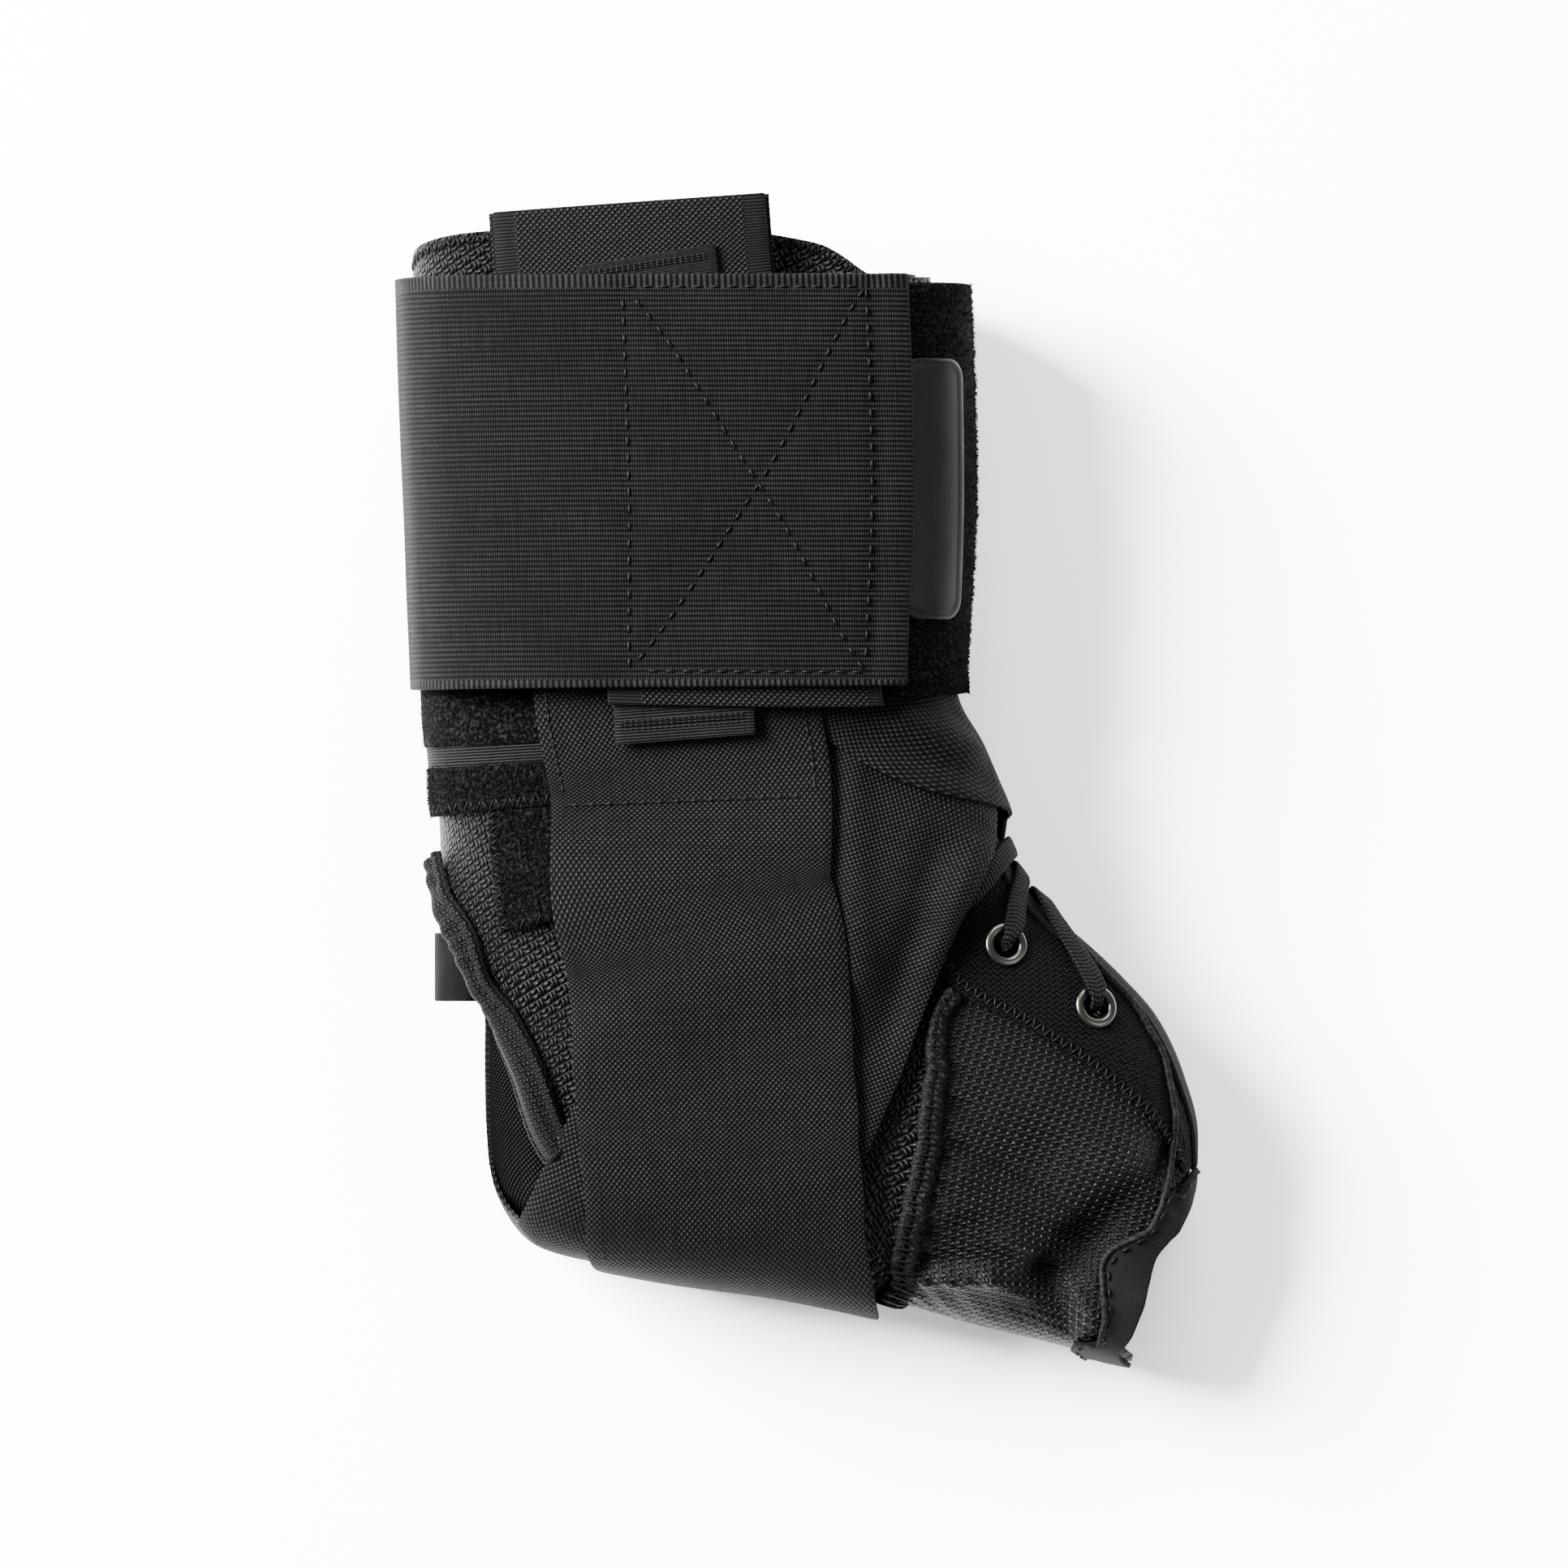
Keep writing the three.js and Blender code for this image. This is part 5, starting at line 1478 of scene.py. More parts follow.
    def toe(self) -> None:
        """Makes the binding of the toe rim."""
        s, t = mesh_grid(8, 230)
        angle = lerp(NEAR_EDGE, FAR_EDGE, s)
        rim = TOE_RIM.read(angle)
        start = np.maximum(rim - RIM_STATION_WIDTH, STAY_END + 0.05)
        hem_station, hem_angle = self.hem_route(TOE_HEM_POINTS)
        on_hem = np.clip((angle - 52) / 8, 0, 1) * np.clip((142 - angle) / 6, 0, 1)
        station = lerp(lerp(start, np.interp(angle, hem_angle, hem_station), on_hem), rim, t)
        points = Form.point(station, angle)
        sole = bell((angle - 135) / 36)
        lip = (np.sin(t * math.pi) * 0.3 + bell((t - 0.12) / 0.1) * 0.4) * (1 - sole)
        outer = BINDING.outer + lip + ripple(8, 9, points) * 0.12 * (1 - sole)
        patch = Patch("toe_binding_cloth", station, angle, outer, np.full(s.shape, BINDING.inner), rim=0.15)
        self.surfaces["toe"] = self.shop.lay(patch, BINDING_CLOTH, "binding_cloth", "toe_binding")

    @staticmethod
    def hem_route(count: int) -> tuple[Array, Array]:
        """Spreads points along the hem's line.

        Args:
            count: how many points.

        Returns:
            The stations and the angles.
        """
        line = Table(tuple((k, *place) for k, place in enumerate(HEM_LINE)))
        plan = line.read(np.linspace(0, len(HEM_LINE) - 1, count))
        return Form.under(plan[:, 0], plan[:, 1], BINDING.outer, (11.5, 45))

    def hem(self) -> None:
        """Makes the piping ridge that follows the front edge and the toe rim, and the strip that its stitches
        are later sewn on.
        """
        station, angle = self.hem_route(HEM_POINTS)
        bumps = 0.06 * np.sin(np.arange(HEM_POINTS) * 1.1)
        ridge = Threads(12)
        ridge.add(Form.cloth(station, angle, BINDING.outer + 0.1)[None], (0.62 + bumps)[None])
        self.shop.dress(ridge.build("hem_piping"), BINDING_CLOTH, "binding_cloth", mapped=False)
        inside = Form.cloth(station, angle - 2.2, BINDING.outer)
        beside = Form.cloth(station, angle + 2.2, BINDING.outer)
        self.surfaces["hem"] = Surface(np.stack([inside, beside], 1))

    def heel(self) -> None:
        """Makes the bindings of the heel opening."""
        for name, route, width, bulge in HEEL_ROLLS:
            strip = Strip(route, width, flat_layer(HEEL_BINDING), pitch=0.6, columns=22, ease=1.6).lay()
            across, run = strip["flat"][..., 0] / width * 2, strip["flat"][..., 1]
            two_rolls = np.abs(np.cos(across * math.pi / 2 * 1.6 + 0.5)) ** 0.6
            fade = np.clip((38 - run) / 8, 0.1, 1)
            gathers = 0.2 * np.sin(run * 1.5 + 2 * np.sin(run * 0.37) + across * 1.6) * fade
            edge = np.sqrt(np.maximum(1 - across ** 2, 0))
            strip["outer"] = strip["outer"] + (bulge * two_rolls + gathers * bulge * 0.6) * edge
            patch = Patch(f"{name}_heel_binding_cloth", strip["station"], strip["angle"], strip["outer"],
                          strip["inner"], flat=strip["flat"])
            self.shop.dress(patch.build(), HEEL_PIPING, "binding_cloth", f"{name}_heel_binding")

    def loop(self) -> None:
        """Makes the loop of cloth at the back of the heel, a soft arch open downwards."""
        length, radius, wall = 13.0, 4.4, 0.9
        x0, y0, z0 = -0.4245 * REACH, -0.187 * HEIGHT, 15.6
        turn, run = np.meshgrid(np.linspace(0, math.pi, 41), np.linspace(0, length, 27))
        sway = 0.25 * np.sin(run * 0.7 + turn * 2)
        outer, inner = (
            np.stack([x0 + np.cos(turn) * r, y0 + run, z0 + np.sin(turn) * (r + sway * 0.6)], -1)
            .reshape(-1, 3) for r in (radius, radius - wall))
        flat = np.stack([turn * radius, run], -1).reshape(-1, 2)
        obj = Bench.wall("heel_loop_cloth", outer, inner, grid_quads(*turn.shape), flat)
        Bench.rounded(obj, 0.25)
        self.shop.dress(obj, BINDING_CLOTH, "binding_cloth", "heel_loop")

    def arch_roll(self) -> None:
        """Makes the two gathered rolls of cloth along the arch seam and the thread over them."""
        angle = np.linspace(60, 168, 420)
        station = ARCH_SEAM.read(angle)
        points = Form.point(station, angle)
        run = run_along(points)
        knot = np.abs(np.sin(run * math.pi / 2.9 + np.sin(run * 0.4))) ** 0.7
        rolls = Threads(12)
        for side in (-0.06, 0.065):
            line = Form.cloth(station + side + np.sin(run * 0.9) * 0.012, angle, 0.1 + knot * 0.12)
            rolls.add(line[None], (1.25 + 0.16 * knot)[None])
        self.shop.dress(rolls.build("arch_seam_rolls"), STAY_CLOTH, "vamp_mesh", mapped=False)
        turns = np.arange(0, run[-1], 1.15)
        swing = np.where(np.arange(len(turns)) % 2 == 0, -0.15, 0.16)
        dense = np.linspace(0, run[-1], len(turns) * 6)
        sway = np.interp(dense, turns, swing)
        lift = 1.75 - 0.9 * (np.abs(sway) / 0.16) ** 4
        line = Form.cloth(np.interp(dense, run, station) + sway, np.interp(dense, run, angle), lift)
        thread = Threads(5)
        thread.add(line[None], np.full((1, len(dense)), 0.24))
        self.shop.dress(thread.build("arch_seam_thread"), SEWING_THREAD, "vamp_mesh", mapped=False)

    def build(self) -> None:
        """Makes the whole boot."""
        self.shell()
        self.vamp()
        self.arch_roll()
        self.tongue()
        self.stays()
        self.toe()
        self.hem()
        self.heel()
        self.loop()


def flat_layer(layer: Layer) -> Callable[[Array, Array, Array], tuple[Array, Array]]:
    """Makes an offset rule that is the same everywhere.

    Args:
        layer: the layer to lie at.

    Returns:
        The rule, from share, station and angle to the inner and outer offset.
    """
    def rule(share: Array, station: Array, angle: Array) -> tuple[Array, Array]:
        """Returns the layer's inner and outer offset."""
        shape = np.broadcast(share, station).shape
        return np.full(shape, layer.inner), np.full(shape, layer.outer)
    return rule


@dataclass
class Cuff:
    """The pile panels and tape that the straps fasten to.

    Attributes:
        shop: dresses its pieces.
    """

    shop: Workshop
    surfaces: dict[str, Surface] = field(default_factory=dict)

    def panel(self, name: str, angles: tuple[float, float], stations: tuple[float, float], layer: Layer,
              finish: ClothFinish, slot: str, cells: tuple[int, int]) -> None:
        """Makes one panel.

        Args:
            name: the solid it stands for.
            angles: from and to.
            stations: from and to.
            layer: its layer.
            finish: its cloth.
            slot: the material slot.
            cells: cells along and round.
        """
        s, t = mesh_grid(*cells)
        station, angle = lerp(*stations, t), lerp(*angles, s)
        height = 0.12 if slot == "loop_pile" else 0.03
        outer = layer.outer + ripple(sum(map(ord, name)), 6, Form.point(station, angle)) * height
        patch = Patch(name + "_cloth", station, angle, outer, np.full(s.shape, layer.inner))
        self.surfaces[name] = self.shop.lay(patch, finish, slot, name, ["boot_shell_cloth"])

    def build(self) -> None:
        """Makes the four panels."""
        self.panel("cuff_pile_panel", (44, 304), (1, 3.47), PILE, LOOP_PILE, "loop_pile", (50, 130))
        self.panel("cuff_edge_tape", (70, 290), (3.458, 3.647), BINDING, GROSGRAIN, "grosgrain", (6, 130))
        self.panel("ankle_pile_band", (92, 176), (3.635, 4.04), PILE, LOOP_PILE, "loop_pile", (10, 60))
        self.panel("ankle_pile_strip", (102, 137), (4.05, 5.16), PILE, LOOP_PILE, "loop_pile", (30, 26))


# Routes of the straps: stations and angles, and for the near strap how far it has risen onto the cuff
FAR_STRAP_ROUTE = (
    (1.0, 265.5), (2.0, 264.2), (3.17, 262.8), (4.22, 257), (5.47, 248.4), (6.6, 237), (7.6, 228), (8.3, 212),
    (8.8, 195), (9.0, 178), (8.9, 150), (8.66, 131), (8.25, 112.8), (7.6, 99), (6.17, 81.4), (4.46, 59.6),
    (3.36, 40), (2.85, 22), (2.6, 4), (2.45, -14),
)
NEAR_STRAP_ROUTE = (
    (-0.08, 97.2, 1), (0.58, 97.2, 1), (1.33, 96.3, 1), (2.16, 94, 1), (2.9, 91.3, 1), (3.4, 90.8, 1),
    (4.28, 92.3, 0.75), (5.66, 97, 0.2), (7.0, 100.1, 0), (8.05, 106.5, 0), (9.02, 127.3, 0), (9.6, 157, 0),
    (9.75, 178, 0), (9.71, 196, 0), (8.84, 238.5, 0), (7.61, 260.9, 0), (6.2, 278.7, 0), (4.6, 300.4, 0),
    (3.7, 318.7, 0), (3.25, 337, 0.15), (3.0, 360, 0.2), (2.85, 378, 0.2), (2.61, 403.4, 0.2),
    (2.45, 420, 0.2),
)
HOOK_END_ROUTE = ((-0.1, 97.2), (0.58, 97.2), (1.33, 96.3), (2.16, 94), (2.9, 91))
PULL_TAPE_ROUTE = ((0.74, 94.7), (1.7, 93.1), (2.63, 90), (3.18, 89.5), (3.5, 90.4))
ELASTIC_DEPTH = Table((
    (42, ELASTIC_NEAR.inner), (104, ELASTIC_NEAR.inner), (124, HOOK_PATCH.inner),
    (138, PULL_TAPE.inner - 0.6), (152, lerp(ELASTIC_BACK.inner, PULL_TAPE.inner, 0.42)),
    (168, ELASTIC_BACK.inner + 0.3),
    (182, ELASTIC_BACK.inner), (206, ELASTIC_BACK.inner + 0.6), (238, ELASTIC_FAR.inner),
    (302, ELASTIC_FAR.inner),
))


@dataclass
class Straps:
    """The two stabilising straps, their hook and pull tapes, and the closed cuff strap.

    Attributes:
        shop: dresses its pieces.
        label_length: length of the bare rubber label.
        label_width: its width.
        label_corner: radius of its corners.
        lace_bump: station, angle, length and width of the rise over the lace, and its height.
        flat_height: height of the far strap's lowest run, in millimetres.
        surfaces: outer faces of the finished pieces.
    """

    shop: Workshop
    label_length: float = 49.0
    label_width: float = 14.5
    label_corner: float = 4.0
    lace_bump: tuple[float, float, float, float, float] = (6.35, 44, 1.1, 24, 1.9)
    flat_height: float = 6.0
    surfaces: dict[str, Surface] = field(default_factory=dict)

    def far_rule(self, share: Array, station: Array, angle: Array) -> tuple[Array, Array]:
        """Lifts the far strap where the lace runs under it.

        Args:
            share: share of the way along the strap; not used.
            station: stations along the form.
            angle: angles round it, in degrees.

        Returns:
            The inner and the outer offset.
        """
        at, turn, length, width, height = self.lace_bump
        rise = height * np.exp(-((station - at) / length) ** 2 - ((angle - turn) / width) ** 2)
        return FAR_STRAP.inner + rise, FAR_STRAP.outer + rise

    def settled(self, grid: dict[str, Array], points: Array) -> Array:
        """Lays the far strap flat where it shows through the heel opening.

        Args:
            grid: the strap's grids of values.
            points: its points, in millimetres.

        Returns:
            The shift of each point.
        """
        middle = grid["angle"][:, [grid["angle"].shape[1] // 2]]
        share = np.clip((middle - 203) / 14, 0, 1) * np.clip((262 - middle) / 14, 0, 1)
        share = share * share * (3 - 2 * share)
        sink = np.minimum(self.flat_height - points[..., 2], 0) * 0.86 * share
        return np.stack([np.zeros(sink.shape), np.zeros(sink.shape), sink], -1)

    def near_rule(self, share: Array, station: Array, angle: Array) -> tuple[Array, Array]:
        """Raises the near strap on the cuff and where it closes.

        Args:
            share: share of the way along the strap.
            station: stations along the form; not used.
            angle: angles round it, in degrees; not used.

        Returns:
            The inner and the outer offset.
        """
        rows = np.array(NEAR_STRAP_ROUTE)
        points = Form.point(rows[:, 0], rows[:, 1])
        runs = run_along(points)
        end = Table(tuple(zip(runs / runs[-1], rows[:, 2]))).read(share)
        return lerp(NEAR_STRAP.inner, STRAP_END.inner, end), lerp(NEAR_STRAP.outer, STRAP_END.outer, end)

    def strap(self, name: str, route: Sequence, width: float, rule: Callable, finish: ClothFinish, slot: str,
              slack: float, seed: int, rests_on: Sequence[str], cells: tuple[float, int] = (1.5, 34),
              creases: Sequence[Crease] = (), ease: float = 3.0, settle: Optional[Callable] = None) -> None:
        """Makes one strap.

        Args:
            name: the solid it stands for.
            route: rows of station and angle.
            width: width of the webbing.
            rule: its offsets.
            finish: its cloth.
            slot: the material slot.
            slack: height of its soft waves, in millimetres.
            seed: fixes the waves.
            rests_on: pieces under it.
            cells: cell length along and number of cells across.
            creases: its folds on the near face.
            ease: how far along it the route is eased, in millimetres.
            settle: moves its points in space, or None.
        """
        route = tuple(tuple(row[:2]) for row in route)
        grid = Strip(route, width, rule, pitch=cells[0], columns=cells[1], ease=ease).lay()
        points = Form.point(grid["station"], grid["angle"])
        across = np.abs(grid["flat"][..., 0]) / (width / 2)
        wave = ripple(seed, 44, points) * slack + ripple(seed + 1, 15, points) * slack * 0.15
        wave = wave + creased(creases, points) * on_near_face(grid["angle"])
        curl = np.clip((across - 0.93) / 0.07, 0, 1) ** 2 * -0.12
        grid["outer"] = grid["outer"] + wave + curl
        grid["inner"] = grid["inner"] + wave
        outer = Form.cloth(grid["station"], grid["angle"], grid["outer"])
        shift = settle(grid, outer) if settle else None
        patch = Patch(name + "_cloth", grid["station"], grid["angle"], grid["outer"], grid["inner"],
                      flat=grid["flat"], rim=0.28, shift=shift)
        self.surfaces[name] = self.shop.lay(patch, finish, slot, name, rests_on)

    def closure(self) -> None:
        """Makes the pile strap round the front of the cuff."""
        s, t = mesh_grid(60, 110)
        angle, station = lerp(-96.0, 54.0, s), lerp(1.02, 3.19, t)
        points = Form.point(station, angle)
        outer = CLOSURE.outer + ripple(21, 5, points) * 0.1
        patch = Patch("closure_strap_cloth", station, angle, outer, np.full(s.shape, CLOSURE.inner), rim=0.45)
        self.surfaces["closure_strap"] = self.shop.lay(
            patch, LOOP_PILE, "loop_pile", "closure_strap", ["near_strap_cloth"])

    def hook_patch(self) -> None:
        """Makes the hook patch sewn under the elastic's end."""
        s, t = mesh_grid(50, 44)
        angle = lerp(lerp(101.6, 47.4, s), lerp(103.6, 48.1, s), t)
        station = lerp(1.05, lerp(3.17, 3.26, s), t)
        patch = Patch("hook_patch_cloth", station, angle, np.full(s.shape, HOOK_PATCH.outer),
                      np.full(s.shape, HOOK_PATCH.inner))
        self.surfaces["hook_patch"] = self.shop.lay(
            patch, HOOK_TAPE, "hook_tape", "hook_patch", ["pull_tape_cloth"])

    def elastic(self) -> None:
        """Makes the elastic, with its end folded under and stitched."""
        s, t = mesh_grid(64, 200)
        angle, station = lerp(42.0, 297.0, s), lerp(0.95, 3.05, t)
        inner = ELASTIC_DEPTH.read(angle)
        points = Form.point(station, angle)
        fold = bell((angle - 45.5) / 2.6) * 0.55 - bell((angle - 50.5) / 1.1) * 0.4
        dips = self.box_seam(s, t)
        outer = inner + ELASTIC_WALL + fold + ripple(31, 26, points) * 0.1 - dips
        patch = Patch("elastic_strap_cloth", station, angle, outer, inner, rim=0.35)
        self.surfaces["elastic_strap"] = self.shop.lay(
            patch, ELASTIC_WEBBING, "elastic_webbing", "elastic_strap", ["hook_patch_cloth"])

    def box_seam(self, s: Array, t: Array) -> Array:
        """Works out how deep the box stitch pulls the elastic in.

        Args:
            s: shares across.
            t: shares along.

        Returns:
            The depths, in millimetres.
        """
        (s0, t0), (s1, t1) = BOX_SEAM[0], BOX_SEAM[2]
        inside_s, inside_t = (s > s0 - 0.005) & (s < s1 + 0.005), (t > t0 - 0.01) & (t < t1 + 0.01)
        along_s = (bell((t - t0) / 0.018) + bell((t - t1) / 0.018)) * inside_s
        along_t = (bell((s - s0) / 0.005) + bell((s - s1) / 0.005)) * inside_t
        u, v = (s - s0) / (s1 - s0), (t - t0) / (t1 - t0)
        cross = (bell((u - v) / 0.025) + bell((u - 1 + v) / 0.025)) * inside_s * inside_t
        return np.minimum(along_s + along_t + cross, 1) * 0.28

    def label(self) -> None:
        """Makes the bare moulded label, a plate with rounded corners and a thin raised rim."""
        half_l, half_w, corner = self.label_length / 2, self.label_width / 2, self.label_corner
        bend = np.linspace(0, math.pi / 2, 9)
        tips = half_l - corner + corner * np.sin(bend[::-1])
        y = np.concatenate([tips, np.linspace(half_l - corner, corner - half_l, 40)[1:-1], -tips[::-1]])
        past = np.maximum(np.abs(y) - (half_l - corner), 0)
        half = half_w - corner + np.sqrt(np.maximum(corner ** 2 - past ** 2, 0))
        x = np.linspace(-1, 1, 21)[None] * half[:, None]
        y = np.broadcast_to(y[:, None], x.shape)
        station, angle = np.full(x.shape, 2.02), np.full(x.shape, 33.5)
        down = unit(Form.cloth(station + 0.02, angle, 0.0) - Form.cloth(station - 0.02, angle, 0.0))
        for _ in range(12):
            ds, da = Form.step(station, angle, LABEL.inner, down * (y / 12)[..., None])
            station, angle = station + ds, angle + da
        for _ in range(6):
            side = unit(np.cross(Form.normal(station, angle), down)) * (x / 6)[..., None]
            ds, da = Form.step(station, angle, LABEL.inner, side)
            station, angle = station + ds, angle + da
        inset = np.minimum(half_w - np.abs(x), half_l - np.abs(y))
        corner_in = corner - np.hypot(np.maximum(np.abs(x) - half_w + corner, 0), past[:, None])
        inset = np.minimum(inset, np.where(corner_in < corner, corner_in, inset))
        outer = LABEL.outer - 0.25 + 0.3 * bell((inset - 0.7) / 0.45) + 0.05 * np.clip(inset, 0, 1)
        patch = Patch("rubber_label_plate", station, angle, outer, np.full(x.shape, LABEL.inner), rim=0.22)
        self.surfaces["label"] = self.shop.lay(patch, LABEL_RUBBER, "label_rubber", "rubber_label")

    def build(self) -> None:
        """Makes all straps, from the boot outwards."""
        self.strap("far_strap", FAR_STRAP_ROUTE, STRAP_WIDTH, self.far_rule, STRAP_WEBBING,
                   "strap_webbing", 0.2, 41, ["boot_shell_cloth"], creases=DIAGONAL_CREASES,
                   settle=self.settled)
        self.strap("near_strap", NEAR_STRAP_ROUTE, STRAP_WIDTH, self.near_rule, STRAP_WEBBING,
                   "strap_webbing", 0.14, 47, ["far_strap_cloth"], creases=END_CREASES)
        self.strap("strap_hook_tape", HOOK_END_ROUTE, HOOK_WIDTH, flat_layer(HOOK_END), HOOK_TAPE,
                   "hook_tape", 0.04, 53, ["near_strap_cloth"])
        self.strap("pull_tape", PULL_TAPE_ROUTE, PULL_TAPE_WIDTH, flat_layer(PULL_TAPE), GROSGRAIN,
                   "grosgrain", 0.04, 59, ["strap_hook_tape_cloth"], (1.2, 20), ease=0.8)
        self.closure()
        self.hook_patch()
        self.elastic()
        self.label()


BOX_SEAM = ((0.041, 0.055), (0.041, 0.945), (0.224, 0.945), (0.224, 0.055))


@dataclass
class Lacing:
    """The four eyelets and the lace.

    Attributes:
        shop: dresses its pieces.
    """

    shop: Workshop
    bore: float = 4.8
    flange: float = 8.3
    metal: float = 0.35
    seat: float = 0.3
    lip: float = 0.6
    inner_flange: float = 0.86
    lace_width: float = 4.2
    lace_thickness: float = 1.1
    bore_half: float = 1.2
    bore_lip: float = 1.3

    def __post_init__(self) -> None:
        """Works out the levels of the eyelets and of the lace over and under them."""
        self.top = STAY.outer + self.seat
        self.under = -MESH_WALL - 2 * self.seat
        half = self.lace_thickness / 2
        self.over = STAY.outer + CLEAR + half
        self.over_flange = self.top + self.lip + CLEAR + half
        self.below = -MESH_WALL - CLEAR - half
        self.below_flange = self.under - self.metal - CLEAR - half

    def ring(self, eyelet: Eyelet) -> None:
        """Makes an eyelet: a rolled ring with a barrel, turned from one closed profile.

        Args:
            eyelet: which eyelet.
        """
        bore, rim = self.bore / 2, self.flange / 2
        barrel = bore + self.metal
        middle, half = (rim + bore) / 2, (rim - bore) / 2
        arc = np.linspace(0, math.pi, 15)
        painted_glint_mask = np.stack([middle + half * np.cos(arc), self.top + self.lip * np.sin(arc)], 1)
        lower = self.under - self.metal
        flange = rim * self.inner_flange
        tail = np.array([[bore, lower], [flange, lower], [flange, self.under], [barrel, self.under],
                         [barrel, self.top]])
        profile = np.concatenate([painted_glint_mask, tail])
        turn = np.linspace(0, 2 * math.pi, 49)[:-1]
        foot = Form.cloth(np.array(eyelet.station), np.array(eyelet.angle), 0.0)
        axis = Form.normal(np.array(eyelet.station), np.array(eyelet.angle))
        side = unit(np.cross(axis, (0.0, 1.0, 0.0)))
        other = np.cross(axis, side)
        spoke = np.cos(turn)[:, None] * side + np.sin(turn)[:, None] * other
        points = foot + spoke[:, None] * profile[None, :, :1] + axis * profile[None, :, 1:]
        numbers = np.arange(points.shape[0] * points.shape[1]).reshape(points.shape[:2])
        across = np.roll(numbers, -1, axis=0)
        faces = np.stack([numbers, across, np.roll(across, -1, 1), np.roll(numbers, -1, 1)], -1)
        obj = Bench.mesh(f"{eyelet.name}_eyelet_ring", points.reshape(-1, 3), faces.reshape(-1, 4))
        Bench.outward(obj)
        bpy.ops.object.shade_smooth_by_angle(angle=math.radians(40))
        self.shop.dress(obj, EYELET_METAL, "eyelet_metal", f"{eyelet.name}_eyelet", mapped=False)

    def route(self) -> list[tuple]:
        """Returns the lace's rows: station, angle and offset, or a bore and its direction."""
        over, below, over_flange, below_flange = self.over, self.below, self.over_flange, self.below_flange
        return [
            (6.4, 50, over), (6.25, 40, over), (5.95, 26, over + 0.3), (5.75, 10, over + 0.6),
            (5.85, -10, 1.4), (6.35, -26, over + 0.2), (6.9, -38, over + 0.2), (7.25, -47, over_flange),
            ("upper_far", True), (7.25, -47, below_flange), (7.1, -36, below), (6.95, -18, below),
            (6.85, -2, 0.0), (6.85, 11, over + 0.3), (7.5, 19, over), (8.2, 26.5, over),
            (8.85, 34, over_flange),
            ("lower_near", True), (8.95, 31, below_flange), (8.85, 12, below), (8.85, -14, below),
            (8.9, -36, below), (8.95, -47, below_flange), ("lower_far", False), (8.75, -47, over_flange),
            (8.45, -38, over), (8.2, -25, over), (7.9, -10, -1.0), (7.65, 8, below), (7.5, 26, below),
            (7.45, 35, below_flange), ("upper_near", False), (7.1, 36, over_flange), (6.7, 27, over),
            (6.3, 11, over + 0.2), (6.15, -3, 0.0), (6.0, -18, below), (5.9, -32, below - 0.3),
            (5.8, -46, below - 0.3),
        ]

    def knots(self) -> tuple[Array, Array, Array]:
        """Returns the lace's points, the cloth's normals there and its half widths."""
        rows = self.route()
        points, normals, halves = [], [], []
        for i, row in enumerate(rows):
            if len(row) == 3:
                place = np.array(row[0]), np.array(row[1])
                points.append(Form.cloth(*place, row[2]))
                normals.append(Form.normal(*place))
                halves.append(self.lace_width / 2)
                continue
            eyelet = next(e for e in EYELETS if e.name == row[0])
            place = np.array(eyelet.station), np.array(eyelet.angle)
            normal, foot = Form.normal(*place), Form.cloth(*place, 0.0)
            upper, lower = (rows[i - 1], rows[i + 1]) if row[1] else (rows[i + 1], rows[i - 1])
            ends = []
            levels = (self.over_flange - CLEAR / 2, self.below_flange + CLEAR / 2)
            for near, level in zip((upper, lower), levels):
                away = Form.cloth(np.array(near[0]), np.array(near[1]), 0.0) - foot
                away = unit(away - normal * (away @ normal)) * self.bore_lip
                ends.append(foot + normal * level + away)
            down = [ends[0], foot + normal * self.top, foot + normal * self.under, ends[1]]
            for point in down if row[1] else down[::-1]:
                points.append(point)
                normals.append(normal)
                halves.append(self.bore_half)
        return np.array(points), np.array(normals), np.array(halves)

    @staticmethod
    def curve(points: Array, shares: Array) -> Array:
        """Runs a centripetal curve through knots.

        Args:
            points: the knots.
            shares: where along the curve, 0 to 1.

        Returns:
            The points.
        """
        count = len(points)
        at = shares * (count - 1)
        i = np.minimum(at.astype(int), count - 2)
        w = (at - i)[:, None]
        before = np.where(i > 0, i - 1, 0)
        p1, p2 = points[i], points[i + 1]
        p0 = np.where((i > 0)[:, None], points[before], 2 * points[0] - points[1])
        p3 = np.where((i + 2 < count)[:, None], points[np.minimum(i + 2, count - 1)],
                      2 * points[-1] - points[-2])
        d0, d1, d2 = (np.maximum(((b - a) ** 2).sum(-1) ** 0.25, 1e-4)[:, None]
                      for a, b in ((p0, p1), (p1, p2), (p2, p3)))
        m1 = ((p1 - p0) / d0 - (p2 - p0) / (d0 + d1) + (p2 - p1) / d1) * d1
        m2 = ((p2 - p1) / d1 - (p3 - p1) / (d1 + d2) + (p3 - p2) / d2) * d1
        a, b = 2 * p1 - 2 * p2 + m1 + m2, -3 * p1 + 3 * p2 - 2 * m1 - m2
        return p1 + m1 * w + b * w ** 2 + a * w ** 3

